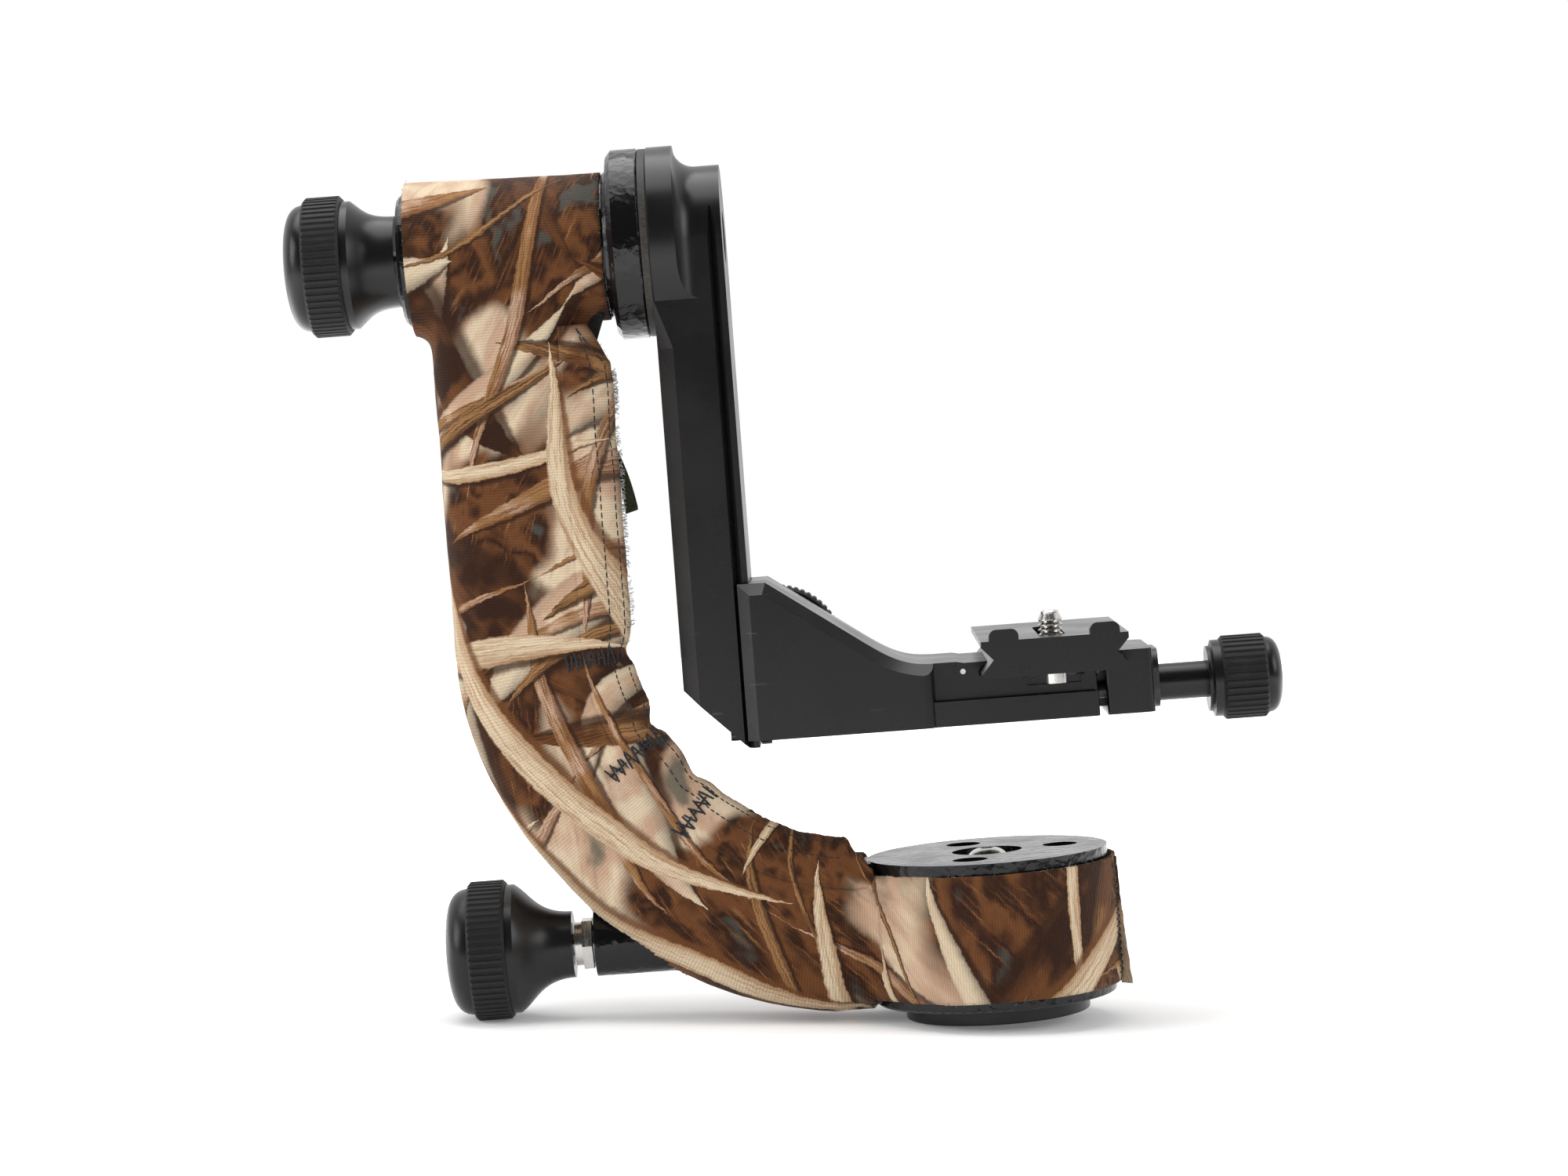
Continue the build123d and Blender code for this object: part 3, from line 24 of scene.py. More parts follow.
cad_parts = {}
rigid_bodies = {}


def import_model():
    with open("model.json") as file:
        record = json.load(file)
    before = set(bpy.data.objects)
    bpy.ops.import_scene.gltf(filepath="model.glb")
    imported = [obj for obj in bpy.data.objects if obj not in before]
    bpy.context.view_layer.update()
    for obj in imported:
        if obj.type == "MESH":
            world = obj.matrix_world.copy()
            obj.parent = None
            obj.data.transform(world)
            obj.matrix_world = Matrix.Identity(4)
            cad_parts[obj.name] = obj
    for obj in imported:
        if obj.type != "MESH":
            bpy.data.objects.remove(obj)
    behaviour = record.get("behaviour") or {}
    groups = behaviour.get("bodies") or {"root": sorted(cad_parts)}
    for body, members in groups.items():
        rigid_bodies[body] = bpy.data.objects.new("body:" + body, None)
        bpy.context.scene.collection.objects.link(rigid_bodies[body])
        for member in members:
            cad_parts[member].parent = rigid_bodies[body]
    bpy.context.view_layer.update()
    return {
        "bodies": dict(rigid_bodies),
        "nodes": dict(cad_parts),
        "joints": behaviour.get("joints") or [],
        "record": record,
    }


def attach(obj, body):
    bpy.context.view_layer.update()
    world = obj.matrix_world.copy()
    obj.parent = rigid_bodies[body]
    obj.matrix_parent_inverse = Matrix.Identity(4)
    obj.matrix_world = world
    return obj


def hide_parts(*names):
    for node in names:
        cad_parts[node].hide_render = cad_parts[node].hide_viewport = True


LOG = logging.getLogger("gimbal_head")
MM = 0.001
WHITE = (1.0, 1.0, 1.0, 1.0)
Colour = tuple[float, float, float]
Span = tuple[float, float]
Socket = bpy.types.NodeSocket


# ---- Objects and nodes -------------------------------------------------------------------------


def mesh_from(name: str, shape: bmesh.types.BMesh) -> bpy.types.Mesh:
    """Turn a bmesh into a mesh, and free the bmesh.

    Args:
        name: The mesh's name.
        shape: The bmesh.

    Returns:
        The mesh.
    """
    mesh = bpy.data.meshes.new(name)
    shape.to_mesh(mesh)
    shape.free()
    return mesh


def add_object(name: str, data: bpy.types.ID) -> bpy.types.Object:
    """Make an object of a mesh, a lamp or a camera, and link it to the scene.

    Args:
        name: The object's name.
        data: Its mesh, lamp or camera.

    Returns:
        The object.
    """
    made = bpy.data.objects.new(name, data)
    bpy.context.scene.collection.objects.link(made)
    return made


class NodeGraph:
    """A node tree with short calls for the nodes that the finishes and the world share."""

    def __init__(self, tree: bpy.types.NodeTree) -> None:
        """Start on an emptied tree.

        Args:
            tree: The tree to fill.
        """
        self.tree = tree
        tree.nodes.clear()

    def put(self, value: object, target: Socket) -> None:
        """Give an input either a link or a plain value.

        Args:
            value: A socket to link, or the value to set.
            target: The input socket.
        """
        if isinstance(value, Socket):
            self.tree.links.new(value, target)
        else:
            target.default_value = value

    def node(self, kind: str, inputs: dict[str | int, object], **options: object) -> bpy.types.Node:
        """Add a node, set its options and fill its inputs.

        Args:
            kind: The node's type, without the ShaderNode in front.
            inputs: Values or sockets to link, by the input's name or number.
            **options: Settings of the node itself.

        Returns:
            The node.
        """
        node = self.tree.nodes.new("ShaderNode" + kind)
        for name, option in options.items():
            setattr(node, name, option)
        for key, value in inputs.items():
            self.put(value, node.inputs[key])
        return node

    def coords(self, kind: str = "Object", scale: Sequence[float] = (1, 1, 1),
               turn: Sequence[float] = (0, 0, 0)) -> Socket:
        """Texture coordinates through a Mapping node.

        Args:
            kind: Object, or UV for the piece's own map.
            scale: Scale on each axis.
            turn: Rotation on each axis, in radians.

        Returns:
            The mapped vector.
        """
        source = self.node("TexCoord", {})
        mapping = self.node("Mapping", {"Vector": source.outputs[kind], "Scale": scale, "Rotation": turn})
        return mapping.outputs["Vector"]

    def noise(self, vector: Socket, scale: float, detail: float = 3.0, roughness: float = 0.5,
              colour: bool = False) -> Socket:
        """A Noise texture.

        Args:
            vector: Coordinates.
            scale: Features per unit length.
            detail: Octaves.
            roughness: How strong the small octaves are.
            colour: True for the colour output, False for the grey one.

        Returns:
            The chosen output.
        """
        values = {"Vector": vector, "Scale": scale, "Detail": detail, "Roughness": roughness}
        return self.node("TexNoise", values).outputs["Color" if colour else "Fac"]

    def cells(self, vector: Socket, scale: float) -> Socket:
        """Distance to the nearest point of a Voronoi texture, with a scale in cells per unit length."""
        return self.node("TexVoronoi", {"Vector": vector, "Scale": scale}).outputs["Distance"]

    def wave(self, vector: Socket, pitch: float, direction: str) -> Socket:
        """A Wave texture of plain sine bands.

        Args:
            vector: Coordinates.
            pitch: Distance from band to band.
            direction: The axis along which the bands follow one another.

        Returns:
            The grey output.
        """
        values = {"Vector": vector, "Scale": math.tau / 20.0 / pitch}
        return self.node("TexWave", values, wave_type="BANDS", bands_direction=direction).outputs["Fac"]

    def ramp(self, value: Socket, stops: Sequence[tuple[float, Colour]]) -> Socket:
        """A colour ramp with eased steps.

        Args:
            value: The grey input.
            stops: Positions and their colours.

        Returns:
            The colour output.
        """
        node = self.node("ValToRGB", {"Fac": value})
        node.color_ramp.interpolation = "EASE"
        elements = node.color_ramp.elements
        while len(elements) < len(stops):
            elements.new(0.5)
        for element, (position, colour) in zip(elements, stops):
            element.position = position
            element.color = (*colour, 1.0)
        return node.outputs["Color"]

    def step(self, value: Socket, low: float, high: float, to_low: float = 0.0,
             to_high: float = 1.0) -> Socket:
        """A smooth step from one level to another.

        Args:
            value: The grey input.
            low: Where the step has its first level. It may be the larger of the two.
            high: Where it has its second level.
            to_low: The first level.
            to_high: The second level.

        Returns:
            The stepped value.
        """
        if low > high:
            low, high, to_low, to_high = high, low, to_high, to_low
        levels = {"From Min": low, "From Max": high, "To Min": to_low, "To Max": to_high}
        node = self.node("MapRange", {"Value": value, **levels}, interpolation_type="SMOOTHSTEP")
        return node.outputs["Result"]

    def math(self, operation: str, *values: object) -> Socket:
        """A Math node on one to three values or sockets."""
        return self.node("Math", dict(enumerate(values)), operation=operation).outputs["Value"]

    def times(self, first: object, second: object) -> Socket:
        """The product of two values or sockets."""
        return self.math("MULTIPLY", first, second)

    def mix(self, factor: object, first: object, second: object, blend: str = "MIX") -> Socket:
        """Mix two colours.

        Args:
            factor: Share of the second colour, a number or a socket.
            first: Colour or socket.
            second: Colour or socket.
            blend: The blend type.

        Returns:
            The mixed colour.
        """
        colours = [(*value, 1.0) if isinstance(value, tuple) else value for value in (first, second)]
        node = self.node("Mix", {}, data_type="RGBA", blend_type=blend)
        for number, value in zip((0, 6, 7), (factor, *colours)):
            self.put(value, node.inputs[number])
        return node.outputs[2]

    def grey(self, level: Socket) -> Socket:
        """A grey of the given level."""
        return self.node("CombineColor", {0: level, 1: level, 2: level}).outputs["Color"]

    def shifted(self, vector: Socket, by: Socket, amount: float) -> Socket:
        """Coordinates moved by a colour, for wandering edges.

        Args:
            vector: Coordinates.
            by: A noise colour, centred on a half.
            amount: How far a full step of the colour moves them.

        Returns:
            The moved coordinates.
        """
        centred = self.node("VectorMath", {0: by, 1: (0.5, 0.5, 0.5)}, operation="SUBTRACT").outputs[0]
        moved = self.node("VectorMath", {0: centred, 1: (amount, amount, amount), 2: vector},
                          operation="MULTIPLY_ADD")
        return moved.outputs[0]

    def seen(self) -> Socket:
        """One where a ray comes from the camera, a mirror or glass, and zero elsewhere.

        Returns:
            The level.
        """
        path = self.node("LightPath", {}).outputs
        shiny = self.math("MAXIMUM", path["Is Glossy Ray"], path["Is Transmission Ray"])
        return self.math("MAXIMUM", path["Is Camera Ray"], shiny)


class Paint(NodeGraph):
    """A material's node tree, with a Principled shader on its output."""

    def __init__(self, name: str) -> None:
        """Start a material.

        Args:
            name: The material's name.
        """
        self.material = bpy.data.materials.new(name)
        self.material.use_nodes = True
        super().__init__(self.material.node_tree)
        self.shader = self.node("BsdfPrincipled", {})
        self.output = self.node("OutputMaterial", {"Surface": self.shader.outputs["BSDF"]})

    def set(self, **values: object) -> None:
        """Set inputs of the Principled shader by name, with underscores for spaces.

        Args:
            **values: Input names and the numbers, colours or sockets they take.
        """
        for name, value in values.items():
            self.put(value, self.shader.inputs[name.replace("_", " ").title().replace("Ior", "IOR")])

    def emboss(self, height: Socket, depth: float) -> None:
        """Bend the surface by a height.

        Args:
            height: The grey height.
            depth: Height of a full step, in metres.
        """
        bump = self.node("Bump", {"Height": height, "Strength": 1.0, "Distance": depth})
        self.put(bump.outputs["Normal"], self.shader.inputs["Normal"])


# ---- Hard finishes -----------------------------------------------------------------------------


@dataclass(frozen=True)
class AnodisedBlack:
    """Satin black anodised aluminium, bead blasted, with hairline scratches in patches."""

    name: str = "black_anodised"
    colour: Colour = (0.0062, 0.0062, 0.0066)
    dulled: Colour = (0.0100, 0.0100, 0.0104)
    worn: Colour = (0.05, 0.05, 0.052)
    roughness: float = 0.29
    gloss: float = 0.34
    clouds: float = 42.0
    grain: float = 5200.0
    grain_depth: float = 0.012 * MM
    hair_stretch: tuple[float, float, float] = (30.0, 30.0, 420.0)
    hair_turn: tuple[float, float, float] = (0.3, 0.5, 0.2)
    hair_wander: float = 2.2
    patches: float = 25.0

    def material(self) -> bpy.types.Material:
        """Build the finish.

        Returns:
            Its material.
        """
        paint = Paint(self.name)
        place = paint.coords()
        cloud = paint.noise(place, self.clouds, 4.0, 0.6)
        grain = paint.noise(place, self.grain, 2.0, 0.6)
        hairs = paint.shifted(paint.coords(scale=self.hair_stretch, turn=self.hair_turn),
                              paint.noise(place, 18.0, 2.0, 0.5, colour=True), self.hair_wander)
        hair = paint.step(paint.noise(hairs, 1.6, 1.0), 0.735, 0.765)
        patch = paint.step(paint.noise(place, self.patches, 2.0), 0.56, 0.66)
        base = paint.mix(paint.times(cloud, 0.35), self.colour, self.dulled)
        base = paint.mix(paint.times(paint.times(hair, patch), 0.55), base, self.worn)
        rough = paint.step(cloud, 0.25, 0.8, self.roughness - 0.06, self.roughness + 0.08)
        paint.set(base_color=base, roughness=rough, metallic=0.0, specular_ior_level=self.gloss)
        paint.emboss(grain, self.grain_depth)
        return paint.material


@dataclass(frozen=True)
class HammeredEnamel:
    """Thick gloss black enamel with an orange-peel skin."""

    name: str = "black_enamel"
    colour: Colour = (0.0045, 0.0045, 0.0050)
    roughness: float = 0.16
    gloss: float = 0.36
    peel: float = 430.0
    peel_wander: float = 1.6 * MM
    ripple: float = 190.0
    depth: float = 0.16 * MM

    def material(self) -> bpy.types.Material:
        """Build the finish.

        Returns:
            Its material.
        """
        paint = Paint(self.name)
        place = paint.coords()
        wander = paint.noise(place, 500.0, 2.0, 0.5, colour=True)
        peel = paint.cells(paint.shifted(place, wander, self.peel_wander), self.peel)
        ripple = paint.noise(place, self.ripple, 2.0, 0.5)
        height = paint.math("ADD", paint.math("POWER", peel, 1.6), paint.times(ripple, 0.9))
        rough = paint.step(paint.noise(place, 90.0, 3.0), 0.3, 0.75,
                           self.roughness - 0.03, self.roughness + 0.09)
        paint.set(base_color=(*self.colour, 1.0), roughness=rough, specular_ior_level=self.gloss)
        paint.emboss(height, self.depth)
        return paint.material


@dataclass(frozen=True)
class GripRubber:
    """Matte black rubber with a dusty bloom."""

    name: str = "rubber"
    colour: Colour = (0.0085, 0.0085, 0.0085)
    bloom: Colour = (0.022, 0.0215, 0.021)
    roughness: float = 0.62
    gloss: float = 0.30
    dust: float = 140.0
    pores: float = 3600.0
    pore_depth: float = 0.03 * MM

    def material(self) -> bpy.types.Material:
        """Build the finish.

        Returns:
            Its material.
        """
        paint = Paint(self.name)
        place = paint.coords()
        dust = paint.step(paint.noise(place, self.dust, 5.0, 0.7), 0.52, 0.74)
        base = paint.mix(paint.times(dust, 0.5), self.colour, self.bloom)
        rough = paint.step(dust, 0.0, 1.0, self.roughness - 0.06, self.roughness + 0.12)
        paint.set(base_color=base, roughness=rough, specular_ior_level=self.gloss)
        paint.emboss(paint.noise(place, self.pores, 3.0, 0.6), self.pore_depth)
        return paint.material


@dataclass(frozen=True)
class TurnedSteel:
    """Bright stainless steel with fine turning marks and a few dull spots."""

    name: str = "steel"
    colour: Colour = (0.63, 0.61, 0.58)
    stained: Colour = (0.42, 0.38, 0.33)
    roughness: float = 0.24
    mark_scale: tuple[float, float, float] = (5200.0, 220.0, 220.0)
    mark_depth: float = 0.009 * MM
    stains: float = 320.0

    def material(self) -> bpy.types.Material:
        """Build the finish.

        Returns:
            Its material.
        """
        paint = Paint(self.name)
        marks = paint.noise(paint.coords(scale=self.mark_scale), 1.0, 2.0, 0.6)
        stain = paint.step(paint.noise(paint.coords(), self.stains, 4.0, 0.6), 0.5, 0.72)
        base = paint.mix(paint.times(stain, 0.3), self.colour, self.stained)
        rough = paint.step(marks, 0.3, 0.7, self.roughness - 0.07, self.roughness + 0.10)
        paint.set(base_color=base, roughness=rough, metallic=1.0)
        paint.emboss(marks, self.mark_depth)
        return paint.material


@dataclass(frozen=True)
class BlackOxide:
    """Black oxide steel, slightly oily."""

    name: str = "dark_steel"
    colour: Colour = (0.035, 0.035, 0.037)
    oily: Colour = (0.07, 0.066, 0.062)
    roughness: float = 0.29
    metal: float = 0.6
    clouds: float = 420.0
    pits: float = 2600.0
    pit_depth: float = 0.02 * MM

    def material(self) -> bpy.types.Material:
        """Build the finish.

        Returns:
            Its material.
        """
        paint = Paint(self.name)
        place = paint.coords()
        cloud = paint.noise(place, self.clouds, 4.0, 0.6)
        base = paint.mix(paint.step(cloud, 0.45, 0.8), self.colour, self.oily)
        rough = paint.step(cloud, 0.3, 0.7, self.roughness - 0.07, self.roughness + 0.12)
        paint.set(base_color=base, roughness=rough, metallic=self.metal)
        paint.emboss(paint.noise(place, self.pits, 2.0), self.pit_depth)
        return paint.material


@dataclass(frozen=True)
class FrictionDisc:
    """Grey-brown pressed fibre."""

    name: str = "friction"
    colour: Colour = (0.030, 0.027, 0.024)
    flecked: Colour = (0.058, 0.053, 0.047)
    roughness: Span = (0.42, 0.60)
    gloss: float = 0.25
    flecks: float = 1400.0
    fleck_depth: float = 0.02 * MM

    def material(self) -> bpy.types.Material:
        """Build the finish.

        Returns:
            Its material.
        """
        paint = Paint(self.name)
        fleck = paint.noise(paint.coords(), self.flecks, 4.0, 0.7)
        base = paint.mix(paint.step(fleck, 0.4, 0.7), self.colour, self.flecked)
        rough = paint.step(fleck, 0.3, 0.7, *self.roughness)
        paint.set(base_color=base, roughness=rough, specular_ior_level=self.gloss)
        paint.emboss(fleck, self.fleck_depth)
        return paint.material


@dataclass(frozen=True)
class NaturalNylon:
    """Cloudy off-white nylon."""

    name: str = "nylon"
    colour: Colour = (0.72, 0.70, 0.64)
    clouded: Colour = (0.62, 0.59, 0.52)
    roughness: Span = (0.36, 0.50)
    clouds: float = 300.0
    grain: float = 1800.0
    grain_depth: float = 0.01 * MM

    def material(self) -> bpy.types.Material:
        """Build the finish.

        Returns:
            Its material.
        """
        paint = Paint(self.name)
        place = paint.coords()
        cloud = paint.noise(place, self.clouds, 3.0, 0.5)
        base = paint.mix(cloud, self.colour, self.clouded)
        paint.set(base_color=base, roughness=paint.step(cloud, 0.3, 0.7, *self.roughness))
        paint.emboss(paint.noise(place, self.grain, 2.0), self.grain_depth)
        return paint.material


class Finish(Enum):
    """The finishes of the CAD nodes, by the record's material slot."""

    BLACK_ANODISED = AnodisedBlack()
    BLACK_ENAMEL = HammeredEnamel()
    RUBBER = GripRubber()
    STEEL = TurnedSteel()
    DARK_STEEL = BlackOxide()
    FRICTION = FrictionDisc()
    NYLON = NaturalNylon()

    @classmethod
    def for_slot(cls, slot_name: str) -> Finish | None:
        """The finish of a material slot, or None where a slot has its own builder."""
        return cls.__members__.get(slot_name.upper())


# ---- Studio ------------------------------------------------------------------------------------


@dataclass
class Studio:
    """Pale floor, soft lamps and the camera round the head.

    The head isn't screwed to a tripod here: it leans on the rim of its base and on the pan knob,
    so the floor is tilted by the lean about the rim's lowest point.
    """

    lean: float = math.radians(3.98)
    rim_x: float = -24.33 * MM
    floor_half: float = 1.6
    floor_tones: tuple[Colour, Colour] = ((0.93, 0.93, 0.93), (0.95, 0.95, 0.95))
    camera_at: tuple[float, float, float] = (-29.6 * MM, -1042.0 * MM, 158.9 * MM)
    camera_yaw: float = -0.018
    camera_pitch: float = 0.041
    camera_roll: float = 0.075
    camera_clip: Span = (0.05, 20.0)
    lens: float = 90.685
    sensor: float = 36.0
    backdrop_level: float = 1.0
    room_level: float = 0.03
    room_edge: Span = (-0.30, 0.35)
    fill_level: float = 0.52
    glow_level: float = 0.14
    glow_reach: Span = (0.16, 0.55)
    lamp_aim: tuple[float, float, float] = (-0.04, 0.0, 0.11)
    lamps: tuple[tuple[str, tuple[float, float, float], float, float], ...] = (
        ("softbox_left", (-1.15, -0.55, 0.70), 0.8, 9.0),
        ("softbox_right", (1.10, -0.45, 0.60), 0.7, 6.0),
        ("softbox_top", (-0.1, 0.05, 1.25), 1.0, 11.0),
    )

    def floor_height(self, x: float) -> float:
        """Height of the floor under a place along X, in the head's own frame."""
        return -(x - self.rim_x) * math.tan(self.lean)

    def build(self) -> None:
        """Make the floor, the world, the lamps and the camera."""
        self._floor()
        self._world()
        for name, place, size, power in self.lamps:
            self._lamp(name, Vector(place), size, power)
        self._camera()

    def _floor(self) -> None:
        """Make the floor, which shows pale to the camera and still takes the head's shadow."""
        shape = bmesh.new()
        bmesh.ops.create_grid(shape, x_segments=8, y_segments=8, size=self.floor_half)
        for vert in shape.verts:
            vert.co.z = self.floor_height(vert.co.x)
        floor = add_object("floor", mesh_from("floor", shape))
        paint = Paint("floor_white")
        place = paint.coords()
        paint.set(base_color=paint.mix(paint.noise(place, 3.0, 2.0), *self.floor_tones),
                  roughness=0.85, specular_ior_level=0.2)
        away = paint.node("VectorMath", {0: place}, operation="LENGTH").outputs["Value"]
        strength = paint.step(away, *self.glow_reach, self.glow_level, 1.0)
        glow = paint.node("Emission", {"Color": WHITE, "Strength": strength})
        matt = paint.shader.outputs["BSDF"]
        both = paint.node("AddShader", {0: matt, 1: glow.outputs["Emission"]})
        choose = paint.node("MixShader", {0: paint.seen(), 1: matt, 2: both.outputs[0]})
        paint.put(choose.outputs[0], paint.output.inputs["Surface"])
        floor.data.materials.append(paint.material)

    def _world(self) -> None:
        """Make the world: soft fill for the head, white behind it."""
        world = bpy.data.worlds.new("studio")
        bpy.context.scene.world = world
        world.use_nodes = True
        graph = NodeGraph(world.node_tree)
        fill = graph.node("Background", {"Color": WHITE, "Strength": self.fill_level})
        around = self._surroundings(graph)
        behind = graph.node("Background", {"Color": around, "Strength": self.backdrop_level})
        choose = graph.node("MixShader", {0: graph.seen(), 1: fill.outputs[0], 2: behind.outputs[0]})
        graph.node("OutputWorld", {"Surface": choose.outputs[0]})

    def _surroundings(self, graph: NodeGraph) -> Socket:
        """White behind the head and beside it; in reflections it falls to the dark room in front.

        Args:
            graph: The world's nodes.

        Returns:
            The grey seen in each direction.
        """
        ways = graph.node("TexCoord", {}).outputs["Generated"]
        ahead = graph.node("SeparateXYZ", {0: ways}).outputs["Y"]
        fall = graph.step(ahead, *self.room_edge, self.room_level, 1.0)
        camera = graph.node("LightPath", {}).outputs["Is Camera Ray"]
        return graph.grey(graph.math("MAXIMUM", fall, camera))

    def _lamp(self, name: str, place: Vector, size: float, power: float) -> None:
        """Make one square softbox that faces the head.

        Args:
            name: The lamp's name.
            place: Its place, in metres.
            size: Its side, in metres.
            power: Its power, in watts.
        """
        light = bpy.data.lights.new(name, "AREA")
        light.shape = "SQUARE"
        light.size = size
        light.energy = power
        lamp = add_object(name, light)
        lamp.location = place
        lamp.rotation_euler = (Vector(self.lamp_aim) - place).to_track_quat("-Z", "Y").to_euler()

    def _camera(self) -> None:
        """Make the camera from its place, its angles and its lens."""
        yaw, pitch, roll = self.camera_yaw, self.camera_pitch, self.camera_roll
        ahead = Vector((math.sin(yaw) * math.cos(pitch), math.cos(yaw) * math.cos(pitch), -math.sin(pitch)))
        level = Vector((math.cos(yaw), -math.sin(yaw), 0.0))
        upright = level.cross(ahead)
        right = level * math.cos(roll) - upright * math.sin(roll)
        up = upright * math.cos(roll) + level * math.sin(roll)
        lens = bpy.data.cameras.new("camera")
        lens.lens = self.lens
        lens.sensor_width = self.sensor
        lens.sensor_fit = "HORIZONTAL"
        lens.clip_start, lens.clip_end = self.camera_clip
        camera = add_object("camera", lens)
        turn = Matrix((right, up, -ahead)).transposed().to_4x4()
        camera.matrix_world = Matrix.Translation(Vector(self.camera_at)) @ turn
        bpy.context.scene.camera = camera


# ---- CAD nodes ---------------------------------------------------------------------------------


@dataclass
class HardParts:
    """Gives every metal, rubber and steel node of the frame its finish."""

    frame: dict
    materials: dict[Finish, bpy.types.Material] = field(default_factory=dict)

    def finish(self, finish: Finish) -> bpy.types.Material:
        """The material of a finish, made the first time it is asked for.

        Args:
            finish: The finish.

        Returns:
            Its material.
        """
        if finish not in self.materials:
            self.materials[finish] = finish.value.material()
        return self.materials[finish]

    def dress(self) -> None:
        """Replace the materials of all nodes that have a finish."""
        slots = {part["node"]: part["material_slot"] for part in self.frame["record"]["subparts"]}
        for name, node in self.frame["nodes"].items():
            finish = Finish.for_slot(slots[name])
            if finish is None:
                continue
            node.data.materials.clear()
            node.data.materials.append(self.finish(finish))
            LOG.info("dressed %s in %s", name, finish.name.lower())


# ---- Sleeve: finishes --------------------------------------------------------------------------


UMBER: Colour = (0.032, 0.0115, 0.0052)
RUST: Colour = (0.145, 0.054, 0.0180)
OCHRE: Colour = (0.330, 0.168, 0.066)
BLUSH: Colour = (0.560, 0.365, 0.245)
CREAM: Colour = (0.710, 0.570, 0.400)
OLIVE: Colour = (0.165, 0.140, 0.100)
SLATE: Colour = (0.060, 0.060, 0.052)
LINT: Colour = (0.50, 0.44, 0.36)


@dataclass(frozen=True)
class Blade:
    """One layer of the print: leaves or reeds that lie roughly one way, pointed at both ends.

    Widths and lengths are of the lanes in which the blades lie, in metres. A blade's own width is
    a part of its lane, from slim to full, and the share is of the lanes' rows that stay empty.
    """

    turn: float
    width: float
    length: float
    share: float
    body: Colour
    light: Colour
    shade: Colour
    shadow: Colour
    slim: float
    full: float
    streaks: float
    seed: float


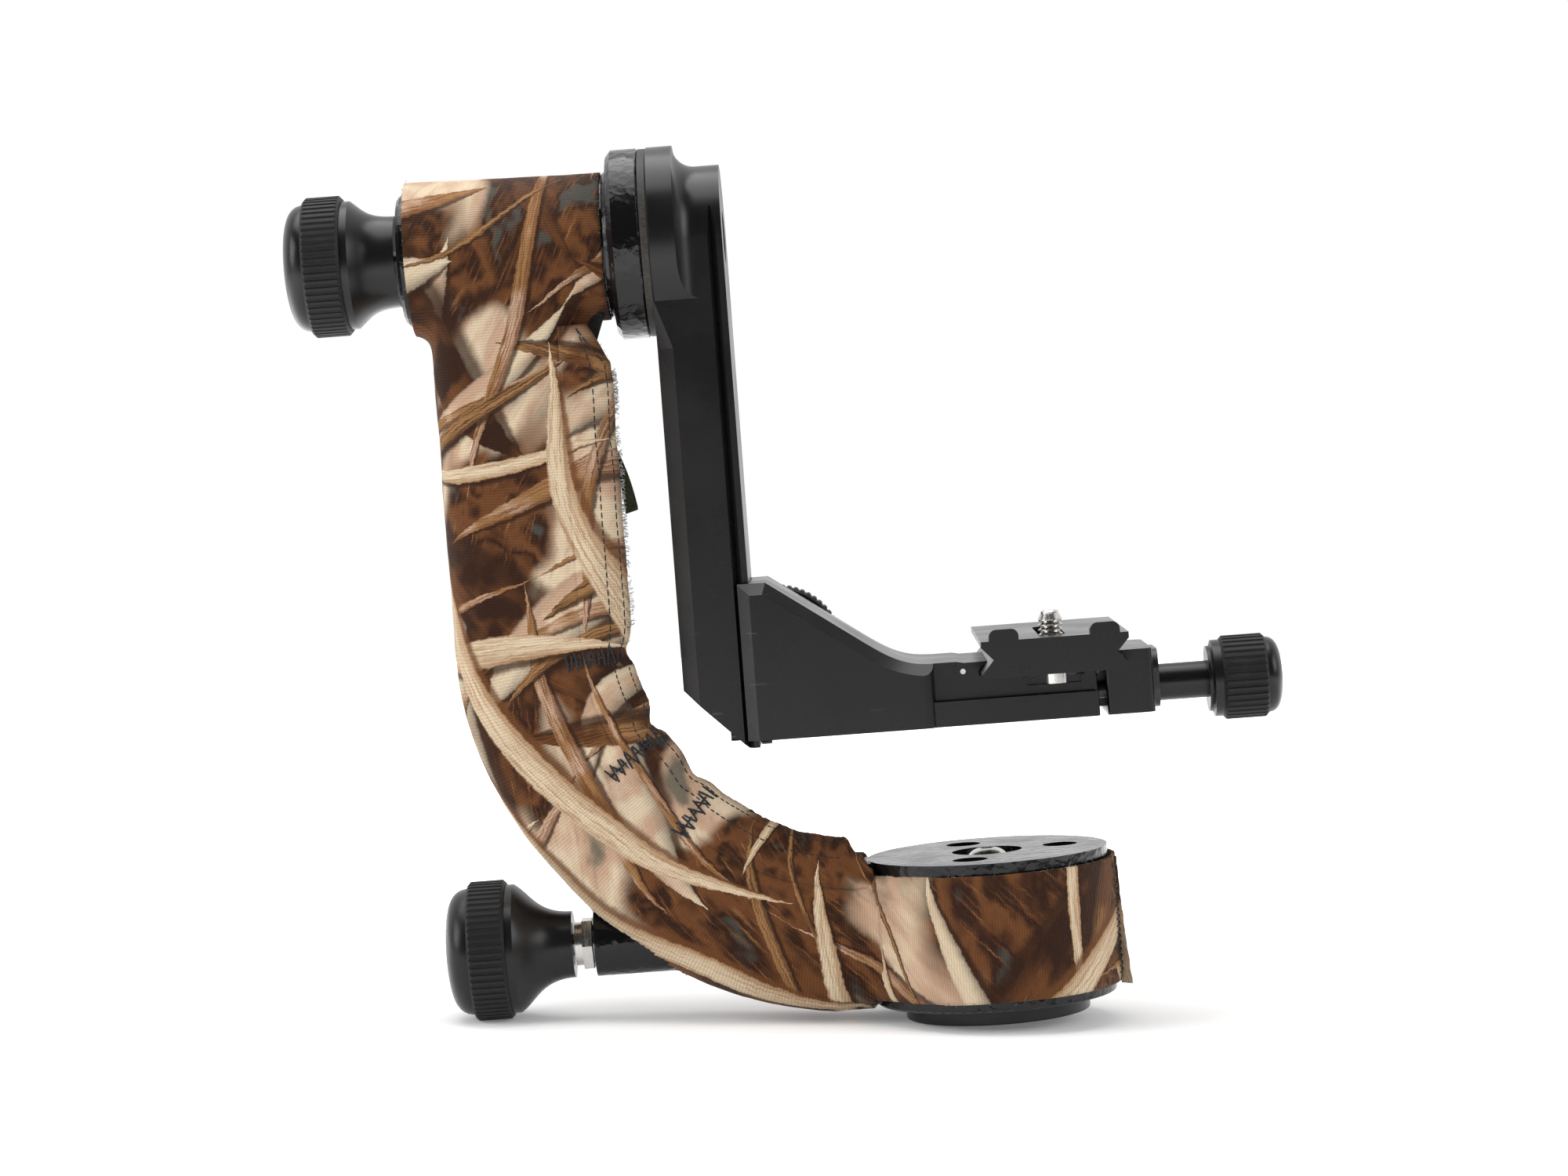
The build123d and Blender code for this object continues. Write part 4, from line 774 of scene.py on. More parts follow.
@dataclass(frozen=True)
class ReedPrintKnit:
    """Brushed knit fabric printed with reeds and leaf shapes in earth colours.

    Pitches and wanders are in metres. A wander is a noise's scale and how far it moves the print.
    Edges and the cast shadow's offset are in half widths of a blade.
    """

    name: str = "reed_print_knit"
    course_pitch: float = 0.72 * MM
    wale_pitch: float = 0.60 * MM
    knit_depth: float = 0.13 * MM
    sweep: Span = (9.0, 62.0 * MM)
    rag: Span = (480.0, 1.7 * MM)
    slip: float = 7.3
    bow: float = 0.40
    thinnest: float = 0.004
    edge: Span = (1.0, 0.82)
    cast_offset: float = 0.34
    cast_edge: Span = (1.30, 0.86)
    sheen: Colour = (0.9, 0.85, 0.78)
    layers: tuple[Blade, ...] = (
        Blade(0.42, 0.046, 0.090, 0.38, BLUSH, CREAM, OLIVE, UMBER, 0.16, 0.30, 0.12, 3.0),
        Blade(-0.66, 0.040, 0.105, 0.42, RUST, UMBER, UMBER, UMBER, 0.14, 0.30, 0.40, 11.0),
        Blade(0.98, 0.034, 0.070, 0.58, BLUSH, CREAM, OLIVE, UMBER, 0.12, 0.26, 0.15, 23.0),
        Blade(1.32, 0.018, 0.090, 0.58, OCHRE, BLUSH, RUST, UMBER, 0.08, 0.22, 0.80, 31.0),
        Blade(-1.12, 0.026, 0.080, 0.62, RUST, OCHRE, UMBER, UMBER, 0.08, 0.26, 0.70, 43.0),
        Blade(0.22, 0.016, 0.110, 0.66, OCHRE, BLUSH, RUST, UMBER, 0.06, 0.22, 0.80, 57.0),
        Blade(1.18, 0.012, 0.062, 0.70, OCHRE, OCHRE, UMBER, UMBER, 0.06, 0.24, 0.80, 97.0),
        Blade(1.62, 0.019, 0.070, 0.70, CREAM, CREAM, OCHRE, UMBER, 0.12, 0.24, 0.60, 61.0),
        Blade(-0.16, 0.023, 0.170, 0.62, CREAM, CREAM, OCHRE, RUST, 0.10, 0.20, 0.65, 79.0),
    )

    def material(self) -> bpy.types.Material:
        """Build the fabric.

        Returns:
            Its material.
        """
        paint = Paint(self.name)
        place, cloth = paint.coords(), paint.coords("UV")
        (sweep_scale, sweep), (rag_scale, rag) = self.sweep, self.rag
        swept = paint.shifted(cloth, paint.noise(place, sweep_scale, 1.0, 0.4, colour=True), sweep)
        ragged = paint.shifted(swept, paint.noise(place, rag_scale, 5.0, 0.7, colour=True), rag)
        colour = self._ground(paint, ragged)
        for blade in self.layers:
            colour = self._blades(paint, ragged, colour, blade)
        weave = self._weave(paint, cloth, place)
        nap = paint.noise(place, 2600.0, 4.0, 0.7)
        paint.set(base_color=self._fibres(paint, place, colour, weave), roughness=0.93,
                  specular_ior_level=0.18, sheen_weight=0.12, sheen_roughness=0.45,
                  sheen_tint=(*self.sheen, 1.0))
        paint.emboss(paint.math("ADD", weave, paint.times(nap, 0.8)), self.knit_depth)
        return paint.material

    def _ground(self, paint: Paint, place: Socket) -> Socket:
        """Dark streaky undergrowth, with soft pale clearings like sprayed paint.

        Args:
            paint: The material.
            place: Warped coordinates on the cloth.

        Returns:
            The ground's colour.
        """
        streak = paint.noise(self._turned(paint, place, 0.55, (900.0, 70.0, 1.0)), 1.0, 4.0, 0.62)
        cloud = paint.noise(place, 46.0, 3.0, 0.55)
        dark = paint.ramp(cloud, [(0.34, SLATE), (0.40, UMBER), (0.50, RUST), (0.57, UMBER), (0.68, RUST)])
        dark = paint.mix(paint.step(streak, 0.50, 0.62, 0.0, 0.60), dark, RUST)
        dark = paint.mix(paint.step(streak, 0.60, 0.74, 0.0, 0.75), dark, OCHRE)
        spray = paint.noise(self._turned(paint, place, 0.4, (26.0, 17.0, 1.0)), 1.0, 2.0, 0.45)
        tint = paint.noise(self._turned(paint, place, 0.3, (60.0, 30.0, 1.0)), 1.0, 3.0, 0.5)
        pale = paint.ramp(tint, [(0.32, OLIVE), (0.43, BLUSH), (0.55, CREAM), (0.66, BLUSH)])
        pale = paint.mix(paint.step(streak, 0.50, 0.78, 0.0, 0.45), pale, OLIVE)
        return paint.mix(paint.step(spray, 0.53, 0.60), dark, pale)

    def _blades(self, paint: Paint, place: Socket, under: Socket, blade: Blade) -> Socket:
        """Lay one layer of blades, each shaded across and with a crisp shadow on one side.

        Args:
            paint: The material.
            place: Warped coordinates on the cloth, in metres.
            under: The colour below.
            blade: The layer.

        Returns:
            The colour with the blades on it.
        """
        lie = self._turned(paint, place, blade.turn, (1 / blade.width, 1 / blade.length, 1.0))
        across, along = list(paint.node("SeparateXYZ", {0: lie}).outputs)[:2]
        lane = paint.math("FLOOR", across)
        slid = paint.math("ADD", along, paint.times(self._chance(paint, lane, blade.seed)[0], self.slip))
        luck, shift, lean = self._chance(paint, lane, blade.seed + 5.0, paint.math("FLOOR", slid))
        x = paint.math("SUBTRACT", paint.math("FRACT", across), 0.5)
        y = paint.math("MULTIPLY_ADD", paint.math("FRACT", slid), 2.0, -1.0)
        bulge = paint.math("SUBTRACT", 1.0, paint.times(y, y))
        half = paint.times(paint.step(shift, 0.0, 1.0, blade.slim, blade.full), bulge)
        middle = paint.times(paint.math("SUBTRACT", lean, 0.5), paint.times(bulge, self.bow))
        side = paint.math("DIVIDE", paint.math("SUBTRACT", x, middle),
                          paint.math("MAXIMUM", half, self.thinnest))
        chosen = paint.step(luck, blade.share, blade.share + 0.01)
        body = paint.times(paint.step(paint.math("ABSOLUTE", side), *self.edge), chosen)
        aside = paint.math("ABSOLUTE", paint.math("SUBTRACT", side, self.cast_offset))
        cast = paint.times(paint.step(aside, *self.cast_edge), chosen)
        streak = paint.noise(self._turned(paint, place, blade.turn, (1900.0, 60.0, 1.0)), 1.0, 4.0, 0.65)
        blotch = paint.noise(place, 75.0, 2.0, 0.5)
        tone = paint.mix(paint.step(blotch, 0.42, 0.60), blade.body, blade.light)
        tone = paint.mix(paint.step(side, 0.0, 1.1, 0.0, 0.75), tone, blade.shade)
        tone = paint.mix(paint.step(streak, 0.45, 0.60, 0.0, blade.streaks), tone, blade.shade)
        tone = paint.mix(paint.step(paint.math("ABSOLUTE", side), 0.50, 1.0, 0.0, 0.30), tone, blade.shade)
        return paint.mix(body, paint.mix(paint.times(cast, 0.85), under, blade.shadow), tone)

    def _weave(self, paint: Paint, cloth: Socket, place: Socket) -> Socket:
        """Height of the knit's loops, laid on the cloth's own map.

        Args:
            paint: The material.
            cloth: Coordinates on the cloth's map.
            place: Coordinates in the round.

        Returns:
            The height.
        """
        lay = paint.shifted(cloth, paint.noise(place, 130.0, 2.0, 0.5, colour=True), 0.6 * MM)
        courses, wales = paint.wave(lay, self.course_pitch, "Y"), paint.wave(lay, self.wale_pitch, "X")
        return paint.times(courses, paint.math("ADD", paint.times(wales, 0.6), 0.4))

    @staticmethod
    def _fibres(paint: Paint, place: Socket, colour: Socket, weave: Socket) -> Socket:
        """Paint shade into the print between the loops and a faint highlight on their tops, and scatter pale
        worn fibres over it.

        Args:
            paint: The material.
            place: Coordinates in the round.
            colour: The print's colour.
            weave: Height of the knit's loops.

        Returns:
            The cloth's colour, with the loops' painted shade and highlight.
        """
        # Painted shade in the valleys between the knit's loops and a faint painted highlight on their tops,
        # taken from the loops' height.
        depth = paint.grey(paint.step(weave, 0.0, 0.8, 0.84, 1.05))
        shaded = paint.mix(1.0, colour, depth, "MULTIPLY")
        lint = paint.step(paint.noise(place, 3300.0, 3.0, 0.75), 0.60, 0.74, 0.0, 0.22)
        worn = paint.step(paint.noise(place, 52.0, 4.0, 0.6), 0.46, 0.70, 0.15, 1.0)
        return paint.mix(paint.times(lint, worn), shaded, LINT)

    @staticmethod
    def _turned(paint: Paint, place: Socket, turn: float, scale: Sequence[float]) -> Socket:
        """Coordinates turned in the plane of the cloth and then scaled.

        Args:
            paint: The material.
            place: Coordinates on the cloth.
            turn: The turn, in radians.
            scale: Scale on each axis.

        Returns:
            The turned coordinates.
        """
        rotate = paint.node("VectorRotate", {"Vector": place, "Angle": turn}, rotation_type="Z_AXIS")
        return paint.node("VectorMath", {0: rotate.outputs[0], 1: scale}, operation="MULTIPLY").outputs[0]

    @staticmethod
    def _chance(paint: Paint, lane: Socket, seed: float, row: Socket | float = 0.0) -> list[Socket]:
        """Three random numbers of a lane, or of one row in it.

        Args:
            paint: The material.
            lane: The lane's number.
            seed: The layer's seed.
            row: The row's number.

        Returns:
            The three numbers.
        """
        spot = paint.node("CombineXYZ", {0: lane, 1: row, 2: seed})
        dice = paint.node("TexWhiteNoise", {"Vector": spot.outputs[0]})
        return list(paint.node("SeparateColor", {"Color": dice.outputs["Color"]}).outputs)


@dataclass(frozen=True)
class SpunThread:
    """Twisted sewing thread, tape pile or loose fibre."""

    name: str
    colour: Colour
    light: Colour
    roughness: float = 0.7
    grain: float = 1500.0
    depth: float = 0.08 * MM

    def material(self) -> bpy.types.Material:
        """Build the finish.

        Returns:
            Its material.
        """
        paint = Paint(self.name)
        place = paint.coords()
        twist = paint.noise(paint.coords(scale=(1.0, 1.0, 1.6), turn=(0.4, 0.6, 0.0)), self.grain, 3.0, 0.65)
        rough = paint.step(paint.noise(place, 400.0, 2.0), 0.3, 0.7,
                           self.roughness - 0.08, self.roughness + 0.1)
        paint.set(base_color=paint.mix(paint.step(twist, 0.42, 0.68), self.colour, self.light),
                  roughness=rough, specular_ior_level=0.35, sheen_weight=0.12)
        paint.emboss(twist, self.depth)
        return paint.material


class Cloth(Enum):
    """The sleeve's materials."""

    FABRIC = ReedPrintKnit()
    SLATE_THREAD = SpunThread("slate_thread", (0.0065, 0.0075, 0.010), (0.026, 0.030, 0.038))
    LOOP_PILE = SpunThread("loop_pile", (0.008, 0.008, 0.008), (0.03, 0.03, 0.028), 0.9, 2400.0, 0.3 * MM)
    OLIVE_TAPE = SpunThread("olive_tape", (0.014, 0.017, 0.004), (0.05, 0.06, 0.014), 0.75, 1900.0, 0.2 * MM)
    PALE_HOOKS = SpunThread("pale_hooks", (0.55, 0.56, 0.55), (0.8, 0.8, 0.78), 0.45, 900.0, 0.02 * MM)
    FIBRE = SpunThread("loose_fibre", (0.07, 0.05, 0.04), (0.42, 0.38, 0.33), 0.85, 300.0, 0.01 * MM)

    def shader(self) -> bpy.types.Material:
        """The material, made the first time it is asked for."""
        return bpy.data.materials.get(self.value.name) or self.value.material()


# ---- Sleeve: shapes ----------------------------------------------------------------------------


def toward(angle: float) -> Vector:
    """The unit vector at an angle from the first axis."""
    return Vector((math.cos(angle), math.sin(angle)))


def leftward(angle: float) -> Vector:
    """The unit vector a quarter turn on from an angle."""
    return Vector((-math.sin(angle), math.cos(angle)))


def bell(offset: float, width: float) -> float:
    """A smooth bump: one in the middle, falling away over a width."""
    return math.exp(-(offset / width) ** 2)


@dataclass(frozen=True)
class LimbPath:
    """Centre line of the C's limb in the XZ plane: straight down, round two bends, into the base.

    Distances along it start at the tilt axis, and offsets across it are positive towards the
    inside of the C. All lengths are in millimetres.
    """

    x: float = -114.9
    top: float = 209.5
    level: float = 23.9
    slope: float = math.radians(52.0)
    slope_at: Span = (-97.5, 58.8)
    bends: Span = (72.0, 80.0)
    end_x: float = -12.0

    def stretches(self) -> list[tuple[float, float, Vector, float]]:
        """The line's straight and round stretches, in turn.

        Returns:
            Length, radius, start and heading of each, with radius 0 for a straight one.
        """
        elbow = Vector((self.x, self.slope_at[1] + (self.slope_at[0] - self.x) * math.tan(self.slope)))
        heel = Vector((self.slope_at[0] + (self.slope_at[1] - self.level) / math.tan(self.slope), self.level))
        turns = (math.pi / 2 - self.slope, self.slope)
        cut = [radius * math.tan(turn / 2) for radius, turn in zip(self.bends, turns)]
        headings = (-math.pi / 2, -self.slope, 0.0)
        lengths = (self.top - elbow.y - cut[0], self.bends[0] * turns[0], (heel - elbow).length - sum(cut),
                   self.bends[1] * turns[1], self.end_x - heel.x - cut[1])
        found, at = [], Vector((self.x, self.top))
        for index, length in enumerate(lengths):
            heading = headings[index // 2]
            radius = self.bends[index // 2] if index % 2 else 0.0
            found.append((length, radius, at.copy(), heading))
            at = self._along(length, radius, at, heading)[0]
        return found

    @staticmethod
    def _along(distance: float, radius: float, start: Vector, heading: float) -> tuple[Vector, float]:
        """Go a distance along one stretch.

        Args:
            distance: The distance.
            radius: The stretch's radius, or 0 for a straight one.
            start: Where it starts.
            heading: Its heading there.

        Returns:
            The place reached and the heading there.
        """
        if radius == 0.0:
            return start + toward(heading) * distance, heading
        turned = heading + distance / radius
        return start + leftward(heading) * radius - leftward(turned) * radius, turned

    def length(self) -> float:
        """Length of the whole line."""
        return sum(stretch[0] for stretch in self.stretches())

    def at(self, distance: float) -> tuple[Vector, float]:
        """Find the place at a distance along the line.

        Args:
            distance: The distance.

        Returns:
            The place in the XZ plane and the heading there.
        """
        parts = self.stretches()
        for length, radius, start, heading in parts[:-1]:
            if distance <= length:
                return self._along(distance, radius, start, heading)
            distance -= length
        return self._along(distance, *parts[-1][1:])

    def point(self, distance: float, inward: float, y: float) -> Vector:
        """Find a place near the limb.

        Args:
            distance: Distance along the line.
            inward: Offset towards the inside of the C.
            y: Place across.

        Returns:
            The place, in metres.
        """
        place, heading = self.at(distance)
        place = place + leftward(heading) * inward
        return Vector((place.x, y, place.y)) * MM

    def locate(self, place: Vector) -> tuple[float, float]:
        """Find where along the limb a place is.

        Args:
            place: The place, in metres.

        Returns:
            Its distance along the line and its offset inward.
        """
        spot = Vector((place.x, place.z)) / MM
        best, travelled = (math.inf, 0.0, 0.0), 0.0
        for length, radius, start, heading in self.stretches():
            if radius == 0.0:
                along = (spot - start).dot(toward(heading))
            else:
                spoke = spot - (start + leftward(heading) * radius)
                along = radius * ((math.atan2(spoke.x, -spoke.y) - heading + math.pi) % math.tau - math.pi)
            along = min(max(along, 0.0), length)
            foot, turned = self._along(along, radius, start, heading)
            gap = (spot - foot).length
            if gap < best[0]:
                best = (gap, travelled + along, (spot - foot).dot(leftward(turned)))
            travelled += length
        return best[1], best[2]


@dataclass(frozen=True)
class LimbSection:
    """Rounded rectangle of the sleeve round the limb, in millimetres."""

    half_w: float = 20.9
    half_t: float = 15.4
    corner: float = 10.4

    def ring(self, count: int) -> list[Vector]:
        """Places (inward, y) spaced evenly round the section."""
        return [self.spot(self.girth() * index / count) for index in range(count)]

    def girth(self) -> float:
        """Distance round the section."""
        return 4 * (self.half_w + self.half_t - 2 * self.corner) + math.tau * self.corner

    def _flats(self) -> tuple[float, float, float]:
        """Half lengths of the two flats, and the length of a corner."""
        return self.half_w - self.corner, self.half_t - self.corner, math.pi / 2 * self.corner

    def spot(self, around: float) -> Vector:
        """Find a place on the section.

        Args:
            around: Distance round the section, from the middle of the inner face.

        Returns:
            The place as (inward, y).
        """
        flat_w, flat_t, bend = self._flats()
        around %= self.girth()
        corners = ((flat_w, flat_t, 0.0), (-flat_w, flat_t, 0.5), (-flat_w, -flat_t, 1.0),
                   (flat_w, -flat_t, 1.5))
        runs = (flat_t, 2 * flat_w, 2 * flat_t, 2 * flat_w)
        spot = Vector((self.half_w, 0.0))
        for (cx, cy, turn), run in zip(corners, runs):
            if around <= run:
                return spot + leftward(turn * math.pi) * around
            around -= run
            if around <= bend:
                return Vector((cx, cy)) + toward(turn * math.pi + around / self.corner) * self.corner
            around -= bend
            spot = Vector((cx, cy)) + toward((turn + 0.5) * math.pi) * self.corner
        return spot + Vector((0.0, 1.0)) * around

    def around(self, inward: float, y: float) -> float:
        """Measure round the section to the place nearest to a given one.

        Args:
            inward: The given place's offset inward.
            y: Its place across.

        Returns:
            The distance from the front's middle, positive towards the inside of the C.
        """
        flat_w, flat_t, bend = self._flats()
        side, lateral = (1.0 if inward >= 0.0 else -1.0), abs(inward)
        if abs(y) <= flat_t:
            return side * (flat_w + bend + flat_t + y)
        if lateral <= flat_w:
            return side * (lateral if y < 0 else flat_w + 2 * bend + 2 * flat_t + flat_w - lateral)
        if y < 0:
            return side * (flat_w + math.atan2(lateral - flat_w, -y - flat_t) * self.corner)
        return side * (flat_w + bend + 2 * flat_t + math.atan2(y - flat_t, lateral - flat_w) * self.corner)


def add_piece(name: str, shape: bmesh.types.BMesh, material: bpy.types.Material) -> bpy.types.Object:
    """Turn a bmesh into a smooth piece of the sleeve that rides on the yoke, and free the bmesh.

    Args:
        name: The piece's name.
        shape: Its shape in metres.
        material: Its material.

    Returns:
        The new object.
    """
    mesh = mesh_from(name, shape)
    mesh.materials.append(material)
    for face in mesh.polygons:
        face.use_smooth = True
    piece = add_object(name, mesh)
    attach(piece, "yoke")
    return piece


def thread_shape(runs: Iterable[Sequence[Vector]], radius: float, sides: int = 1) -> bmesh.types.BMesh:
    """Round threads along runs of points, as one shape.

    Args:
        runs: The points of each thread, in metres.
        radius: Radius of the threads, in millimetres.
        sides: Extra divisions of a quarter of the round section.

    Returns:
        The shape.
    """
    curve = bpy.data.curves.new("threads", "CURVE")
    curve.dimensions = "3D"
    curve.bevel_depth = radius * MM
    curve.bevel_resolution = sides
    curve.use_fill_caps = True
    curve.resolution_u = 3
    for run in runs:
        spline = curve.splines.new("NURBS" if len(run) > 2 else "POLY")
        spline.points.add(len(run) - 1)
        for point, place in zip(spline.points, run):
            point.co = (*place, 1.0)
        if len(run) > 2:
            spline.order_u = 3
            spline.use_endpoint_u = True
    holder = bpy.data.objects.new("threads", curve)
    mesh = bpy.data.meshes.new_from_object(holder)
    shape = bmesh.new()
    shape.from_mesh(mesh)
    bpy.data.objects.remove(holder)
    bpy.data.curves.remove(curve)
    bpy.data.meshes.remove(mesh)
    return shape


def thicken(shape: bmesh.types.BMesh, thick: float) -> None:
    """Give a sheet its thickness, in millimetres, with its faces pointing outwards."""
    bmesh.ops.solidify(shape, geom=shape.faces[:], thickness=thick * MM)
    bmesh.ops.recalc_face_normals(shape, faces=shape.faces)


@dataclass
class SleeveBody:
    """The fitted fabric over limb, hub and base: one skin, cut open where the hard parts come out.

    All lengths are in millimetres. A corner is where the skin bridges from the limb to the hub or to
    the band, and the neck is the limb's last stretch, where the skin comes down to the band. Waves
    are heights and noise scales, and folds are places along the limb and how far they reach. A dip
    is a depth and a width, and a swelling a height, its distance from the stitching and a width.
    """

    path: LimbPath = field(default_factory=LimbPath)
    section: LimbSection = field(default_factory=LimbSection)
    hub_ends: Span = (-139.8, -88.5)
    hub_radii: Span = (20.3, 19.3)
    hub_base: float = 170.0
    band_r: float = 33.6
    band_ends: Span = (7.0, 40.0)
    boss_z: float = 25.7
    boss_r: float = 10.4
    heel_x: float = -70.0
    heel_top: float = 60.0
    limb_sides: int = 56
    limb_rings: int = 84
    hub_sides: int = 128
    band_sides: int = 180
    overlap: float = 4.0
    voxel: float = 1.25
    thick: float = 1.2
    hub_corner: tuple[Span, Span] = ((-138.9, -91.0), (-30.0, -9.0))
    hub_passes: int = 30
    band_corner: tuple[Span, float] = ((-2.5, 9.0), -14.0)
    band_passes: int = 110
    neck: Span = (-50.0, -30.0)
    neck_top: float = 35.9
    neck_fall: float = 0.23
    limb_top: float = 188.0
    waves: tuple[Span, Span] = ((0.26, 0.055), (0.10, 0.21))
    folds: tuple[Span, ...] = ((127.0, 26.0), (196.0, 32.0))
    fold_depth: float = 0.34
    fold_pitch: float = 10.5
    darts: tuple[tuple[Span, Span], ...] = (
        ((-106.3, 101.2), (-90.6, 102.9)),
        ((-97.1, 70.9), (-81.7, 82.7)),
        ((-80.1, 54.5), (-69.2, 68.1)),
    )
    dart_front: float = -8.0
    dart_dip: Span = (0.5, 1.1)
    dart_swell: tuple[float, float, float] = (0.42, 3.0, 1.7)
    map_at_hub: tuple[float, float] = (13.5, 1.0)
    map_at_band: tuple[float, float] = (1.2, 12.3)

    def build(self) -> bpy.types.Object:
        """Make the skin.

        Returns:
            Its object.
        """
        shape = self._skin(self._solid())
        self._cut(shape)
        self._drape(shape)
        self._map(shape)
        bmesh.ops.recalc_face_normals(shape, faces=shape.faces)
        thicken(shape, self.thick)
        return add_piece("sleeve_cloth", shape, Cloth.FABRIC.shader())

    def _solid(self) -> bpy.types.Object:
        """Make closed volumes of the limb, the hub and the base band.

        Returns:
            One temporary object that holds them.
        """
        shape = bmesh.new()
        ring = bmesh.ops.create_circle(shape, segments=self.limb_sides, radius=1.0, cap_ends=True)["verts"]
        edges = shape.edges[:]
        corner_of = dict(zip(ring, self.section.ring(self.limb_sides)))
        self._place(corner_of, 0.0)
        for index in range(1, self.limb_rings):
            grown = bmesh.ops.extrude_edge_only(shape, edges=edges)["geom"]
            fresh = {part for part in grown if isinstance(part, bmesh.types.BMVert)}
            edges = [part for part in grown if isinstance(part, bmesh.types.BMEdge)
                     and all(vert in fresh for vert in part.verts)]
            corner_of = {vert: corner_of[self._before(vert, fresh)] for vert in fresh}
            self._place(corner_of, self.path.length() * index / (self.limb_rings - 1))
        bmesh.ops.contextual_create(shape, geom=edges)
        hub = Matrix.Translation(Vector((sum(self.hub_ends) / 2, 0.0, self.path.top)) * MM)
        band = Matrix.Translation(Vector((0.0, 0.0, sum(self.band_ends) / 2)) * MM)
        for matrix, ends, radii, sides in (
                (hub @ Matrix.Rotation(math.pi / 2, 4, "Y"), self.hub_ends, self.hub_radii, self.hub_sides),
                (band, self.band_ends, (self.band_r, self.band_r), self.band_sides)):
            bmesh.ops.create_cone(shape, cap_ends=True, segments=sides, radius1=radii[0] * MM,
                                  radius2=radii[1] * MM, matrix=matrix,
                                  depth=(ends[1] - ends[0] + self.overlap) * MM)
        bmesh.ops.recalc_face_normals(shape, faces=shape.faces)
        return add_object("sleeve_volumes", mesh_from("sleeve_volumes", shape))

    @staticmethod
    def _before(vert: bmesh.types.BMVert, fresh: set[bmesh.types.BMVert]) -> bmesh.types.BMVert:
        """The vertex of the ring before that a new one was extruded from."""
        return next(edge.other_vert(vert) for edge in vert.link_edges if edge.other_vert(vert) not in fresh)

    def _place(self, corner_of: dict[bmesh.types.BMVert, Vector], distance: float) -> None:
        """Put a ring of vertices round the limb at a distance along it."""
        for vert, corner in corner_of.items():
            vert.co = self.path.point(distance, corner.x, corner.y)

    def _skin(self, solid: bpy.types.Object) -> bmesh.types.BMesh:
        """Fuse the volumes into one skin and let it bridge the inner corners as taut cloth does.

        Args:
            solid: The object of the volumes, which is removed.

        Returns:
            The skin.
        """
        remesh = solid.modifiers.new("fuse", "REMESH")
        remesh.mode = "VOXEL"
        remesh.voxel_size = self.voxel * MM
        depsgraph = bpy.context.evaluated_depsgraph_get()
        mesh = bpy.data.meshes.new_from_object(solid.evaluated_get(depsgraph))
        shape = bmesh.new()
        shape.from_mesh(mesh)
        bpy.data.meshes.remove(mesh)
        bpy.data.meshes.remove(solid.data)
        self._smooth(shape, shape.verts, 2)
        for chosen, passes in ((self._by_hub, self.hub_passes), (self._by_band, self.band_passes)):
            self._smooth(shape, [vert for vert in shape.verts if chosen(vert.co / MM)], passes)
        for vert in shape.verts:
            if self.neck[0] * MM < vert.co.x < self.neck[1] * MM:
                vert.co.z = min(vert.co.z, self.neck_top * MM - self.neck_fall * vert.co.x)
        return shape

    @staticmethod
    def _smooth(shape: bmesh.types.BMesh, verts: Sequence[bmesh.types.BMVert], passes: int) -> None:
        """Smooth some vertices.

        Args:
            shape: The skin.
            verts: The vertices.
            passes: How many times.
        """
        for _ in range(passes):
            bmesh.ops.smooth_vert(shape, verts=verts, factor=0.5, use_axis_x=True, use_axis_y=True,
                                  use_axis_z=True)

    def _by_hub(self, place: Vector) -> bool:
        """Whether a place is where the limb meets the hub."""
        (left, right), (low, high) = self.hub_corner
        return low < place.z - self.path.top < high and left < place.x < right

    def _by_band(self, place: Vector) -> bool:
        """Whether a place is where the limb meets the base band."""
        (inner, outer), right = self.band_corner
        return inner < math.hypot(place.x, place.y) - self.band_r < outer and place.x < right

    def _cut(self, shape: bmesh.types.BMesh) -> None:
        """Open the skin at the hub's ends, over and under the base and round the brake boss.

        Args:
            shape: The skin.
        """
        for end, side in zip(self.hub_ends, (-1.0, 1.0)):
            self._trim(shape, lambda at: at.z > self.hub_base, Vector((end, 0.0, 0.0)),
                       Vector((side, 0.0, 0.0)))
        for end, side in zip(self.band_ends, (-1.0, 1.0)):
            self._trim(shape, lambda at: math.hypot(at.x, at.y) < self.band_r + 0.9,
                       Vector((0.0, 0.0, end)), Vector((0.0, 0.0, side)))
        inside = [face for face in shape.faces if face.calc_center_median().x < self.heel_x * MM
                  and self._from_boss(face.calc_center_median()) < self.boss_r]
        bmesh.ops.delete(shape, geom=inside, context="FACES")
        for vert in [vert for vert in shape.verts if vert.is_boundary]:
            at = vert.co / MM
            spread = math.hypot(at.x, at.y)
            if at.x < self.heel_x and at.z < self.heel_top:
                ring = Vector((at.y, at.z - self.boss_z)).normalized() * self.boss_r
                vert.co = Vector((at.x, ring.x, self.boss_z + ring.y)) * MM
            elif spread < self.band_r + 3.0 and not self.band_ends[0] - 0.5 < at.z < self.band_ends[1] + 0.5:
                hem = self.band_r - 0.4
                vert.co = Vector((at.x / spread * hem, at.y / spread * hem, at.z)) * MM

    def _from_boss(self, place: Vector) -> float:
        """Distance from the brake boss's axis, in millimetres."""
        return math.hypot(place.y / MM, place.z / MM - self.boss_z)

    @staticmethod
    def _trim(shape: bmesh.types.BMesh, chosen: Callable[[Vector], bool], at: Vector, normal: Vector) -> None:
        """Cut the chosen faces with a plane and delete what lies beyond it.

        The edges and vertices keep the faces' order, as the new vertices' order follows from it, and
        the loose fibres are drawn from them.

        Args:
            shape: The skin.
            chosen: Whether a place in millimetres is to be cut.
            at: A place on the plane, in millimetres.
            normal: The way to the side that goes.
        """
        faces = [face for face in shape.faces if chosen(face.calc_center_median() / MM)]
        edges = dict.fromkeys(edge for face in faces for edge in face.edges)
        verts = dict.fromkeys(vert for face in faces for vert in face.verts)
        bmesh.ops.bisect_plane(shape, geom=[*verts, *edges, *faces], plane_co=at * MM, plane_no=normal,
                               clear_outer=True)

